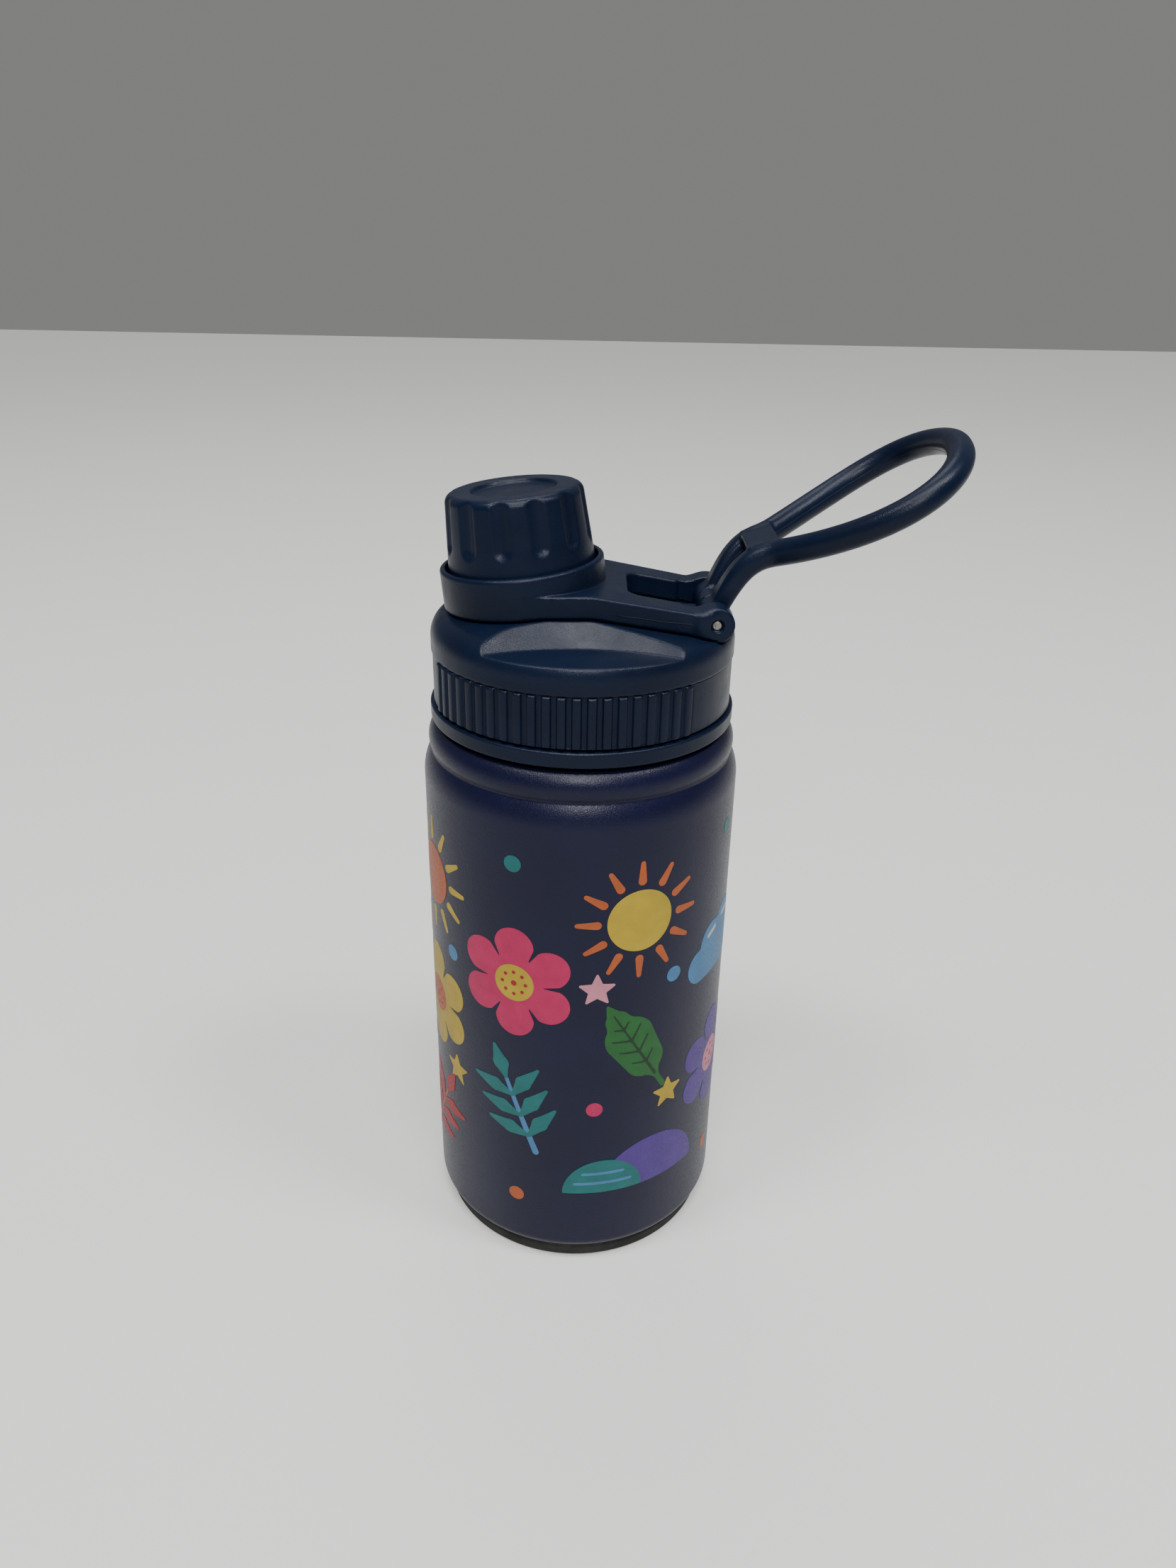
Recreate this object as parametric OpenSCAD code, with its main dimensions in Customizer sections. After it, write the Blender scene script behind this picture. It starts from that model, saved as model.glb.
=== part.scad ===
// Insulated drinking bottle with a screw lid, a tethered twist knob over the
// spout and a hinged carry loop.  Millimetres, +Z up, the bottle's axis on Z,
// the table at z = 0.  The hinge lies on the +X side, the spout towards -X.

/* [Bottle] */
// Outer radius of the straight body
body_r = 36.5; // [36.2:0.1:37.5]
// Height where the body's straight wall ends and the shoulder begins
wall_top = 122.5; // [118:0.5:122.5]
// Thickness of the steel walls
steel_t = 0.6; // [0.5:0.1:0.8]
// Outer radius of the inner vessel
vessel_r = 32.4; // [31.5:0.1:33]
// Outer radius of the threaded neck
neck_r = 29.4; // [29.2:0.1:29.5]
// Height of the mouth's rim
rim_z = 150.4; // [150:0.1:150.4]
// Radius of the rubber base pad
pad_r = 34.5; // [33.8:0.1:34.8]
// Height of the rubber base pad at its edge
pad_h = 3.4; // [3.0:0.1:3.6]

/* [Neck thread] */
// Rise of the lid in one turn
thread_pitch = 4; // [3.6:0.1:4.4]
// How far a thread ridge stands out
thread_d = 1.1; // [0.8:0.1:1.1]
// Turns of thread on the neck
thread_turns = 1.25; // [1:0.25:1.5]

/* [Lid] */
// Outer radius of the lid's smooth lower ring
flange_r = 34.45; // [34.2:0.05:34.6]
// Radius of the ribbed band between its ribs
band_r = 33.6; // [33.4:0.1:33.7]
// Radius of the lid's domed top where it meets the band
dome_r = 33.9; // [33.8:0.1:34.1]
// Height of the lower ring's underside
lid_z = 136.1; // [136:0.1:136.4]
// Height of the seam between the lower ring and the band
band_z = 139.9; // [139.6:0.1:140.2]
// Height of the seam between the band and the dome
dome_z = 151.5; // [151:0.1:152]
// Angle between two neighbouring grip ribs
rib_step = 5.3; // [5:0.1:6]
// Height of the thumb scoops' flat ledge
ledge_z = 157.4; // [157.2:0.1:158]
// Plan radius of a thumb scoop at its ledge
scoop_r = 46; // [42:1:50]

/* [Knob and spout] */
// Distance of the spout's axis from the bottle's axis at the lid's top
spout_x = 12.7; // [12:0.1:13]
// Height of the tether ring's underside on the spout's axis
ring_z = 162; // [162:0.1:162.3]
// Lean of the spout and the knob away from the hinge
lean = 5.9; // [5.5:0.1:6.2]
// Outer radius of the tether ring
ring_r = 18; // [17.8:0.1:18.2]
// Height of the tether ring
ring_h = 8.9; // [8.5:0.1:9.2]
// Radius of the knob where it enters the ring
knob_r = 16; // [15.8:0.1:16]
// Radius of the knob near its top
knob_top_r = 14.9; // [14.6:0.1:15.2]
// Height of the knob's top above the ring's underside
knob_h = 24.3; // [23.5:0.1:25]
// Number of grip flutes round the knob
flutes = 12; // [10:1:14]
// Outer radius of the drinking spout
spout_r = 8.8; // [8.4:0.1:8.8]
// Height of the spout's lip above the ring's underside
spout_h = 10.4; // [9.5:0.1:10.4]

/* [Hinge and carry loop] */
// Distance of the hinge pin from the bottle's axis
pin_x = 28.3; // [28:0.1:28.5]
// Height of the hinge pin
pin_z = 161.1; // [161:0.1:161.3]
// Radius of the steel hinge pin
pin_r = 1.0; // [0.9:0.05:1.1]
// Running clearance round the pin
pin_gap = 0.06; // [0.04:0.01:0.08]
// Outer radius of the strap's ears
ear_r = 3.8; // [3.6:0.1:4.0]
// Half the width across the outside of the ears
ear_out = 15.5; // [15:0.1:15.5]
// Half the width of the gap between the ears
ear_in = 10; // [9.9:0.1:10.2]
// Length of the teardrop from the legs' bridge to its far end
loop_len = 42.4; // [38:0.2:44]
// Thickness of the loop's bar
loop_t = 5.6; // [5:0.1:5.6]

/* [Hidden] */
$fn = 96;
e = 0.01;                        // overlap that lets cutters pass a face

navy = [0.10, 0.12, 0.22];
teal_navy = [0.07, 0.13, 0.20];
steel = [0.75, 0.76, 0.78];
black = [0.06, 0.06, 0.06];
milky = [0.88, 0.88, 0.86];

function arc(cx, cy, r, a0, a1, n = 8) =
    [for (i = [0 : n]) let (a = a0 + (a1 - a0) * i / n) [cx + r * cos(a), cy + r * sin(a)]];

// ---- bottle -------------------------------------------------------------
base_z = 4;                      // underside of the steel base
foot_r = 3;                      // rounding of the body's bottom edge
shoulder_r = 10.2;               // rounding of the shoulder
bead_r = 5;                      // section radius of the bead under the lid
bead_x = body_r - 6.3;           // centre of the bead's section
bead_z = wall_top + 8.5;
deck_z = wall_top + 12.6;        // flat step between the bead and the neck
lip_t = 0.8;                     // thickness of the welded lip at the mouth
cap_r = 31;                      // radius of the opening that the base cap closes
weld_gap = 0.05;                 // gap that the cap's weld fills
vessel_z = 9;                    // underside of the inner vessel
neck_root_z = deck_z + 1;
shoulder_a = 35;                 // angle that the shoulder turns through
hollow_r = neck_r - 12;          // inner side of the outline before it is hollowed

module shell_outline(t) {
    polygon(concat(
        [[cap_r, base_z + t]],
        arc(body_r - foot_r, base_z + foot_r, foot_r - t, -90, 0, 6),
        arc(body_r - shoulder_r, wall_top, shoulder_r - t, 0, shoulder_a, 8),
        arc(bead_x, bead_z, bead_r - t, -30, 42, 10),
        [[body_r - 3.9 - t / 3, deck_z - t]],
        arc(neck_r + 1, neck_root_z, 1 + t, -90, -180, 4),
        [[neck_r - t, rim_z - lip_t], [hollow_r, rim_z - lip_t], [hollow_r, base_z + t]]));
}

module outer_shell() {
    color(navy) {
        rotate_extrude() difference() {
            shell_outline(0);
            shell_outline(steel_t);
            translate([0, base_z - 1]) square([cap_r, 2 + steel_t]);
            translate([0, base_z - 1]) square([neck_r - steel_t, rim_z]);
        }
        neck_thread();
    }
}

// A helical ridge: one closed solid swept along the thread's own line.
module ridge(root, depth, pitch, turns, z0, start = 0, foot = 1.9, crest = 0.9, per_turn = 36) {
    n = ceil(per_turn * turns);
    run_out = 4;
    function swell(i) = min(1, min(i, n - i) / run_out);
    sink = 0.25 * sign(depth);
    pts = [for (i = [0 : n])
        let (a = start + 360 * turns * i / n, z = z0 + pitch * turns * i / n,
             d = depth * max(0.02, swell(i)), c = crest / 2, f = foot / 2)
        for (q = [[root - sink, -f], [root + d, -c], [root + d, c], [root - sink, f]])
            [q[0] * cos(a), q[0] * sin(a), z + q[1]]];
    sides = [for (i = [0 : n - 1], k = [0 : 3])
        let (a = 4 * i + k, b = 4 * i + (k + 1) % 4)
        each [[a, b, b + 4], [a, b + 4, a + 4]]];
    ends = [[0, 3, 2], [0, 2, 1], [4 * n, 4 * n + 1, 4 * n + 2], [4 * n, 4 * n + 2, 4 * n + 3]];
    faces = concat(sides, ends);
    polyhedron(pts, depth > 0 ? faces : [for (f = faces) [f[2], f[1], f[0]]]);
}

neck_thread_z = rim_z - 9.4;     // start of the neck's ridge
module neck_thread() {
    ridge(neck_r, thread_d, thread_pitch, thread_turns, neck_thread_z);
}

vessel_neck_r = neck_r - steel_t - 0.05;
module vessel_outline(t) {
    polygon(concat(
        [[0, vessel_z + t]],
        arc(vessel_r - 7, vessel_z + 7, 7 - t, -90, 0, 8),
        arc(vessel_r - 9, wall_top - 4, 9 - t, 0, 62, 8),
        [[vessel_neck_r - t, wall_top + 6], [vessel_neck_r - t, rim_z + 1], [0, rim_z + 1]]));
}

module inner_vessel() {
    color(steel) rotate_extrude() {
        difference() {
            vessel_outline(0);
            vessel_outline(steel_t);
            translate([0, rim_z]) square([neck_r, 2]);
        }
        translate([vessel_neck_r - steel_t, rim_z - lip_t])
            square([neck_r - vessel_neck_r + steel_t, lip_t]);
    }
}

foil_gap = 0.3;                  // how far the foil stands off the vessel
foil_t = 0.25;
foil_h = wall_top - vessel_z - 14;
module foil_shield() {
    color([0.80, 0.50, 0.35])
        translate([0, 0, vessel_z + 8]) difference() {
            cylinder(h = foil_h, r = vessel_r + foil_gap + foil_t);
            translate([0, 0, -e]) cylinder(h = foil_h + 2 * e, r = vessel_r + foil_gap);
        }
}

getter_x = 14;
getter_r = 3.5;
getter_h = 2.5;
module getter() {
    color([0.45, 0.45, 0.47])
        translate([getter_x, 0, base_z + steel_t]) cylinder(h = getter_h, r = getter_r);
}

dimple_r = 5;
dimple_h = 1.6;
port_r = 1;
module base_cap() {
    color(steel) difference() {
        union() {
            translate([0, 0, base_z]) cylinder(h = steel_t, r = cap_r - weld_gap);
            translate([0, 0, base_z]) cylinder(h = dimple_h + steel_t, r = dimple_r + steel_t);
        }
        translate([0, 0, base_z - e]) cylinder(h = dimple_h + e, r = dimple_r);
        translate([0, 0, base_z]) cylinder(h = 9, r = port_r);
    }
}

seal_h = 1;
module vacuum_seal() {
    color([0.55, 0.55, 0.58])
        translate([0, 0, base_z + dimple_h - seal_h]) cylinder(h = seal_h, r1 = 3, r2 = 4);
}

adhesive_t = 0.3;
module pad_adhesive() {
    color(milky) difference() {
        translate([0, 0, base_z - adhesive_t]) cylinder(h = adhesive_t, r = cap_r - 1);
        translate([0, 0, base_z - 1]) cylinder(h = 2, r = dimple_r + 2);
    }
}

tread_r = 26;                    // radius of the outer groove in the pad's underside
tread_step = 8;                  // distance between its two grooves
module base_pad() {
    pad_top = base_z - adhesive_t;
    step_r = body_r - foot_r - 0.4;
    color(black) rotate_extrude() difference() {
        polygon(concat([[0, 0]], arc(pad_r - 0.6, 0.6, 0.6, -90, 0, 4),
            arc(pad_r - 0.4, pad_h - 0.4, 0.5, 0, 90, 4), [[step_r, pad_top], [0, pad_top]]));
        translate([tread_r, 0]) circle(r = 0.8);
        translate([tread_r - tread_step, 0]) circle(r = 0.8);
    }
}

// ---- lid ----------------------------------------------------------------
liner_in = 30.9;                 // liner's bore round the neck
liner_out = 32.1;
plate_z = rim_z + 1.6;           // underside of the liner's plate
plate_t = 1.5;
plate_top = plate_z + plate_t;
shell_in = liner_out + 0.1;
cavity_r = 29.5;                 // space for the foam inside the dome
cavity_z = ledge_z - 1.5;
seam = 0.2;                      // open joint between ring and band

module lid_gasket() {
    color(milky) rotate_extrude()
        translate([neck_r - 2.4, rim_z + 0.1]) square([3.5, plate_z - rim_z - 0.2]);
}

// Places its children on the leaning axis, z = 0 at the ring's underside.
module on_lean() {
    translate([-spout_x, 0, ring_z]) rotate([0, -lean, 0]) children();
}

spout_bore = spout_r - 1.8;
thread_slack = 0.35;             // axial play of the liner's ridge
module lid_liner() {
    liner_thread_z = neck_thread_z + thread_pitch / 2 - thread_slack / 2;
    color(teal_navy) difference() {
        union() {
            rotate_extrude() {
                translate([liner_in, lid_z]) square([liner_out - liner_in, plate_top - lid_z]);
                translate([0, plate_z]) square([liner_in + e, plate_t]);
                polygon(concat([[liner_in + e, lid_z]],
                    arc(flange_r - 0.6, lid_z + 0.6, 0.6, -90, 0, 4),
                    arc(flange_r - 0.3, band_z - seam - 0.3, 0.3, 0, 90, 3),
                    [[liner_in + e, band_z - seam]]));
            }
            ridge(liner_in, 0.1 - thread_d, thread_pitch, thread_turns, liner_thread_z,
                  foot = 1.5, crest = 0.8);
        }
        on_lean() translate([0, 0, -30]) cylinder(h = 60, r = spout_bore);
    }
}

spout_seat_x = spout_x - (ring_z - plate_top) * tan(lean);   // axis at the liner's plate
spout_foot_r = 12.4;             // radius of the spout's foot flange
module lid_foam() {
    color([0.93, 0.93, 0.90]) difference() {
        translate([0, 0, plate_top]) cylinder(h = cavity_z - plate_top - 0.1, r = cavity_r - 0.3);
        translate([-spout_seat_x, 0, plate_top - 1]) cylinder(h = 9, r = spout_foot_r + 0.6);
    }
}

top_gap = 0.35;                  // gap between the lid's top and what lies on it
fall = tan(9.4);                 // slope of the strap and the lid's top towards the hinge
strap_peak = ring_z + 5.3;       // top of the strap beside the ring
strap_t = 4.8;                   // thickness of the strap
function strap_top(x) = strap_peak - max(0, x - 2) * fall;
function lean_top(x) = ring_z + (x + spout_x) * tan(lean);
module top_outline() {
    under = strap_t + top_gap;
    polygon([[-40, band_z - 5], [-40, lean_top(-40) - top_gap], [-6, lean_top(-6) - top_gap],
             [0, strap_peak - under], [3, strap_top(3) - under],
             [40, strap_top(40) - under], [40, band_z - 5]]);
}

rim_r = 5.3;                     // rounding of the dome's edge
rim_z0 = dome_z + 3.3;           // height where that rounding begins
scoop_x = 0.5;                   // place of the scoops' axes along X
scoop_y = scoop_r + 21.4;        // and across
scoop_h = 9;                     // height of their cutter, whose wall leans at 45 degrees
rib_r = 1.7;
rib_out = 0.5;                   // how far a rib stands out of the band
rib_first = 48.8;                // angle of the rib nearest the hinge
rib_count = 21;                  // ribs on each side
pocket_r = ear_r + 0.35;
lug_half = 2.6;                  // half the width of the central hinge lug
lug_r = 3.2;

module grip_ribs() {
    for (side = [-1, 1], i = [0 : rib_count - 1])
        rotate([0, 0, side * (rib_first + i * rib_step)])
            translate([band_r + rib_out - rib_r, 0, band_z + seam])
                cylinder(h = dome_z - band_z, r = rib_r, $fn = 24);
}

module thumb_scoop(side) {
    translate([scoop_x, side * scoop_y, ledge_z])
        cylinder(h = scoop_h, r1 = scoop_r, r2 = scoop_r + scoop_h);
}

module hinge_pocket() {
    pocket_half = ear_out + 0.4;
    mouth = 12;                  // size of the cut that opens the pocket to the outside
    translate([pin_x, pocket_half, pin_z]) rotate([90, 0, 0])
        cylinder(h = 2 * pocket_half, r = pocket_r);
    translate([pin_x, -pocket_half, pin_z - 2]) cube([mouth, 2 * pocket_half, mouth]);
}

module lid_shell() {
    color(teal_navy) difference() {
        union() {
            difference() {
                intersection() {
                    rotate_extrude() polygon(concat(
                        [[0, band_z], [band_r, band_z], [band_r, dome_z], [dome_r - 0.3, dome_z],
                         [dome_r, dome_z + 0.4]],
                        arc(dome_r - rim_r - 0.1, rim_z0, rim_r, 0, 80, 8), [[0, ring_z + 8]]));
                    translate([0, 40, 0]) rotate([90, 0, 0]) linear_extrude(80) top_outline();
                }
                thumb_scoop(-1);
                thumb_scoop(1);
                hinge_pocket();
            }
            grip_ribs();
            hinge_lug();
        }
        translate([0, 0, band_z - 1]) cylinder(h = plate_top - band_z + 1, r = shell_in);
        cylinder(h = cavity_z, r = cavity_r);
        on_lean() translate([0, 0, -20]) cylinder(h = 40, r = spout_r + 0.15);
        pin_hole(lug_half + 1, 0.01);
    }
}

module hinge_lug() {
    web = 9;                     // reach of the web that ties the lug to the dome
    web_z = plate_top + 1;
    translate([pin_x, lug_half, pin_z]) rotate([90, 0, 0]) cylinder(h = 2 * lug_half, r = lug_r);
    translate([pin_x - web, -lug_half, web_z])
        cube([web + 0.6 * lug_r, 2 * lug_half, pin_z - web_z - lug_r / 2]);
}

module pin_hole(half, gap) {
    translate([pin_x, half, pin_z]) rotate([90, 0, 0]) cylinder(h = 2 * half, r = pin_r + gap);
}

washer_t = 0.6;
small_pitch = 3.2;               // rise of the knob in one turn
small_foot = 1.5;                // width of the small thread's ridge at its foot
small_crest = 0.6;               // and at its crest
module spout() {
    color(teal_navy) difference() {
        union() {
            translate([-spout_seat_x, 0, plate_top + washer_t]) cylinder(h = 1.5, r = spout_foot_r);
            intersection() {
                on_lean() translate([0, 0, -14]) cylinder(h = 14 + spout_h, r = spout_r);
                translate([-30, -20, plate_top + washer_t]) cube([40, 40, 40]);
            }
            on_lean() ridge(spout_r, 0.7, small_pitch, 1.25, spout_h - 6.6,
                            foot = small_foot, crest = small_crest);
        }
        on_lean() translate([0, 0, -20]) cylinder(h = 60, r = spout_bore);
    }
}

module spout_gasket() {
    color(milky) translate([-spout_seat_x, 0, plate_top]) difference() {
        cylinder(h = washer_t, r = spout_foot_r - 0.2);
        translate([0, 0, -1]) cylinder(h = 3, r = spout_r + 0.6);
    }
}

module hinge_pin() {
    color(steel) translate([pin_x, ear_out - 0.5, pin_z]) rotate([90, 0, 0])
        cylinder(h = 2 * ear_out - 1, r = pin_r);
}

// ---- tether strap -------------------------------------------------------
ring_in = knob_r + 0.75;
lip_in = 14.2;                   // bore of the ring's inner lip
lip_z = 1.8;
lip_h = 1.4;
slot_half = 8.7;                 // half the width of the strap's slot
slot_x = 9.6;                    // where the slot begins
gap_x = 21.5;                    // where it widens into the gap between the ears

module strap_side() {
    polygon([[-spout_x, ring_z + 0.5], [0, strap_peak - strap_t + 0.2], [3, strap_top(3) - strap_t],
             [pin_x - 3, strap_top(pin_x - 3) - strap_t], [pin_x, pin_z - ear_r + 0.1],
             [pin_x, pin_z + 1], [pin_x - 3, strap_top(pin_x - 3)],
             [2, strap_peak], [-spout_x, strap_peak - 0.3]]);
}

module strap_plan() {
    polygon([[-spout_x + 1, ring_r - 0.1], [pin_x, ear_out], [pin_x, -ear_out],
             [-spout_x + 1, -ring_r + 0.1]]);
}

module strap_slot() {
    corner = 3;
    cut = [20, 30];              // length and height of the cutters
    translate([0, 0, ring_z - cut[1] / 2]) {
        for (y = [-1, 1])
            translate([slot_x + corner, y * (slot_half - corner), 0])
                cylinder(h = cut[1], r = corner, $fn = 48);
        translate([slot_x, corner - slot_half, 0]) cube([cut[0], 2 * (slot_half - corner), cut[1]]);
        translate([slot_x + corner, -slot_half, 0]) cube([cut[0], 2 * slot_half, cut[1]]);
        translate([gap_x, -ear_in, 0]) cube([cut[0], 2 * ear_in, cut[1]]);
    }
}

module tether_strap() {
    color(teal_navy) difference() {
        union() {
            on_lean() cylinder(h = ring_h, r = ring_r);
            intersection() {
                translate([0, 30, 0]) rotate([90, 0, 0]) linear_extrude(60) strap_side();
                linear_extrude(200) strap_plan();
            }
            translate([pin_x, ear_out, pin_z]) rotate([90, 0, 0]) cylinder(h = 2 * ear_out, r = ear_r);
        }
        strap_slot();
        on_lean() translate([0, 0, lip_z + lip_h]) cylinder(h = 20, r = ring_in);
        on_lean() translate([0, 0, -5]) cylinder(h = 20, r = lip_in);
        on_lean() translate([0, 0, -5]) cylinder(h = 5 + lip_z, r = ring_in - 0.5);
        pin_hole(20, pin_gap);
    }
}

// ---- knob ---------------------------------------------------------------
knob_z = lip_z + lip_h + 0.3;    // the knob shell's lower edge, above the ring's lip
taper = (knob_r - knob_top_r) / (knob_h - 1.5 - ring_h);
knob_foot_r = knob_r + taper * (ring_h - knob_z);
core_r = 13.2;                   // outer radius of the knob's threaded core
core_in = 12.2;
core_top = spout_h + 3.3;
core_roof = 1.3;                 // thickness of the core's closed end
dimple_in = 8.9;                 // radius and depth of the dish in the knob's top
dimple_d = 0.9;
flute_cut = 3;                   // radius of the flutes' cutter
flute_d = 0.8;                   // depth of the flutes
flute_z = ring_h + 5.6;          // lower end of the flutes
edge_r = 1.6;                    // rounding of the knob's top edge

module knob_shell() {
    wall_in = core_r + 0.1;
    lean_in = atan(taper);
    color(teal_navy) on_lean() difference() {
        rotate_extrude() polygon(concat([[0, knob_z], [knob_foot_r, knob_z]],
            arc(knob_top_r - edge_r, knob_h - edge_r, edge_r, 0, 90, 6), [[0, knob_h]]));
        translate([0, 0, knob_z - 1]) cylinder(h = knob_h - 2.4 - knob_z + 1, r = wall_in);
        translate([0, 0, knob_h - dimple_d]) cylinder(h = 2, r1 = dimple_in, r2 = dimple_in + 1.1);
        for (i = [0 : flutes - 1])
            rotate([0, 0, 21 + i * 360 / flutes])
                translate([knob_r - taper * (flute_z - ring_h) + flute_cut - flute_d, 0, flute_z])
                    rotate([0, -lean_in, 0]) {
                        cylinder(h = 20, r = flute_cut, $fn = 32);
                        sphere(r = flute_cut, $fn = 32);
                    }
    }
}

module knob_core() {
    color(milky) on_lean() {
        difference() {
            union() {
                translate([0, 0, 0.3]) cylinder(h = core_top - 0.3, r = core_r);
                translate([0, 0, 0.3]) cylinder(h = lip_z - 0.6, r = ring_in - 1);
            }
            translate([0, 0, -1]) cylinder(h = core_top - core_roof + 1, r = core_in);
        }
        ridge(core_in, -0.6, small_pitch, 1, 1.8, foot = small_foot, crest = small_crest);
    }
}

module knob_gasket() {
    gasket_z = spout_h + 0.3;
    color(milky) on_lean() translate([0, 0, gasket_z])
        cylinder(h = core_top - core_roof - gasket_z, r = core_in - 0.1);
}

// ---- carry loop ---------------------------------------------------------
leg_y = 6.25;                    // centre of a leg at the hinge
bar = loop_t / 2;
bend_x = 40;                     // where the legs meet the teardrop
bend_z = 175;
pitch_up = 22.1;                 // climb of the teardrop at its root
curl = 0.0035;                   // how fast the teardrop curls upwards
curl_rate = 360 * curl / PI;     // turn of its sheet, in degrees per millimetre
root_y = 8.2;                    // half spacing of the bars at the root

function bez(a, b, c, d, t) =
    a * pow(1 - t, 3) + 3 * b * t * pow(1 - t, 2) + 3 * c * t * t * (1 - t) + d * pow(t, 3);
function drop(t) = bez([0, root_y], [loop_len * 0.872, 38], [loop_len, 8.2], [loop_len, 0], t);
function lift(q) = let (s = q[0], w = curl * s * s)
    [bend_x + s * cos(pitch_up) - w * sin(pitch_up), q[1],
     bend_z + s * sin(pitch_up) + w * cos(pitch_up)];
function leg(t) = let (p = bez([pin_x, pin_z], [31.6, 168.4], [33.8, 174.2], [bend_x, bend_z], t))
    [p[0], leg_y + (root_y - leg_y) * t, p[1]];

leg_steps = 9;
drop_steps = 26;
half_path = concat([for (i = [0 : leg_steps - 1]) leg(i / leg_steps)],
                   [for (i = [0 : drop_steps]) lift(drop(i / drop_steps))]);
half_n = len(half_path);
path = concat(half_path, [for (i = [half_n - 2 : -1 : 0])
    [half_path[i][0], -half_path[i][1], half_path[i][2]]]);

function unit(v) = v / norm(v);
function tangent(i) = unit(path[min(len(path) - 1, i + 1)] - path[max(0, i - 1)]);
// Sideways direction of the bar: it stays in the teardrop's own sheet.
function across(i) = unit(cross(tangent(i), sheet_up(i)));
function sheet_up(i) = let (j = min(i, len(path) - 1 - i),
    s = max(0, path[j][0] - bend_x) / cos(pitch_up),
    slope = j < leg_steps ? leg_slope(j) : pitch_up + curl_rate * s)
    [-sin(slope), 0, cos(slope)];
function leg_slope(j) = let (d = half_path[j + 1] - half_path[max(0, j - 1)]) atan2(d[2], d[0]);

// Flattens a circle's sine or cosine towards a rounded square.
function round_off(c, k) = sign(c) * pow(abs(c), 1 - 0.35 * k);

module bar_sweep(sides = 16) {
    n = len(path);
    pts = [for (i = [0 : n - 1])
        let (t = tangent(i), u = across(i), v = cross(u, t),
             root = max(0, 1 - min(i, n - 1 - i) / leg_steps))
        for (k = [0 : sides - 1]) let (a = 360 * k / sides)
            path[i] + bar * (0.94 + 0.2 * root) * round_off(cos(a), root) * u
                    + bar * (1 - 0.32 * root) * round_off(sin(a), root) * v];
    wall = [for (i = [0 : n - 2], k = [0 : sides - 1])
        let (a = i * sides + k, b = i * sides + (k + 1) % sides)
        each [[a, b, b + sides], [a, b + sides, a + sides]]];
    caps = [for (k = [1 : sides - 2]) each [[0, k + 1, k],
        [(n - 1) * sides, (n - 1) * sides + k, (n - 1) * sides + k + 1]]];
    polyhedron(pts, concat(wall, caps));
}

module carry_loop() {
    knuckle_r = 3.2;
    knuckle_w = 6.4;
    bridge_l = 6.8;              // length and thickness of the plate between the legs
    bridge_t = 3.8;
    color(teal_navy) difference() {
        union() {
            bar_sweep();
            for (y = [-1, 1])
                translate([pin_x, y * leg_y + knuckle_w / 2, pin_z]) rotate([90, 0, 0])
                    cylinder(h = knuckle_w, r = knuckle_r);
            translate([bend_x - 1.6, 0, bend_z - 0.1]) rotate([0, -18.7, 0])
                translate([-bridge_l / 2, -root_y, -bridge_t / 2])
                    cube([bridge_l, 2 * root_y, bridge_t]);
        }
        pin_hole(20, pin_gap);
    }
}

outer_shell();
inner_vessel();
foil_shield();
getter();
base_cap();
vacuum_seal();
pad_adhesive();
base_pad();
lid_gasket();
lid_liner();
lid_foam();
lid_shell();
spout();
spout_gasket();
hinge_pin();
tether_strap();
knob_shell();
knob_core();
knob_gasket();
carry_loop();
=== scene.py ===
import math

import bmesh
import bpy
import numpy as np
from mathutils import Matrix, Vector


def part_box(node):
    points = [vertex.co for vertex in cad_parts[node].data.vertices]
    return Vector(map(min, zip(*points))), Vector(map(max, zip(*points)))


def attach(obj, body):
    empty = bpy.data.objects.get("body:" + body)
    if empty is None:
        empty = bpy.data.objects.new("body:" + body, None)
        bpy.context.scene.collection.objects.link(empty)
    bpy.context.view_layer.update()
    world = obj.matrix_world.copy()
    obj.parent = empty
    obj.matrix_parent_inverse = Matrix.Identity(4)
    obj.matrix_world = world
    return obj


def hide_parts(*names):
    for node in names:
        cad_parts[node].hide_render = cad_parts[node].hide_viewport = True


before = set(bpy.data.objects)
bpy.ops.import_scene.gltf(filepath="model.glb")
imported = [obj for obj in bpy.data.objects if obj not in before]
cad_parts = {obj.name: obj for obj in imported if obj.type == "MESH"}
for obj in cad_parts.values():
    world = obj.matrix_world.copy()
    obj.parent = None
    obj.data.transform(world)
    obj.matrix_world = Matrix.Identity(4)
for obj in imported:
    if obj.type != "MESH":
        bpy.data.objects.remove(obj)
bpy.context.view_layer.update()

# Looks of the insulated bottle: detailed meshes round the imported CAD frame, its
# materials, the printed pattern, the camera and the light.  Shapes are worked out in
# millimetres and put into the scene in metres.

MM = 0.001


def low(node):
    """Lowest corner of a CAD node, in millimetres."""
    return np.array(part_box(node)[0]) / MM


def high(node):
    """Highest corner of a CAD node, in millimetres."""
    return np.array(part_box(node)[1]) / MM


# ---- sizes, in millimetres ------------------------------------------------
BODY_R = 36.5
WALL_TOP = 122.5
STEEL_T = 0.6
SHOULDER_R = 10.2
BEAD_R = 5.0
BEAD_X = BODY_R - 6.3
BEAD_Z = WALL_TOP + 8.5
DECK_Z = WALL_TOP + 12.6
NECK_R = 29.4
THREAD_PITCH = 4.0
THREAD_TURNS = 1.25
SHELL_TOP = high("outer_shell")[2]
FOOT_R = 3.0
BASE_Z = low("outer_shell")[2]
CAP_R = 31.0
PAD_TOP = high("base_pad")[2]
PAD_R = 34.5

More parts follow.
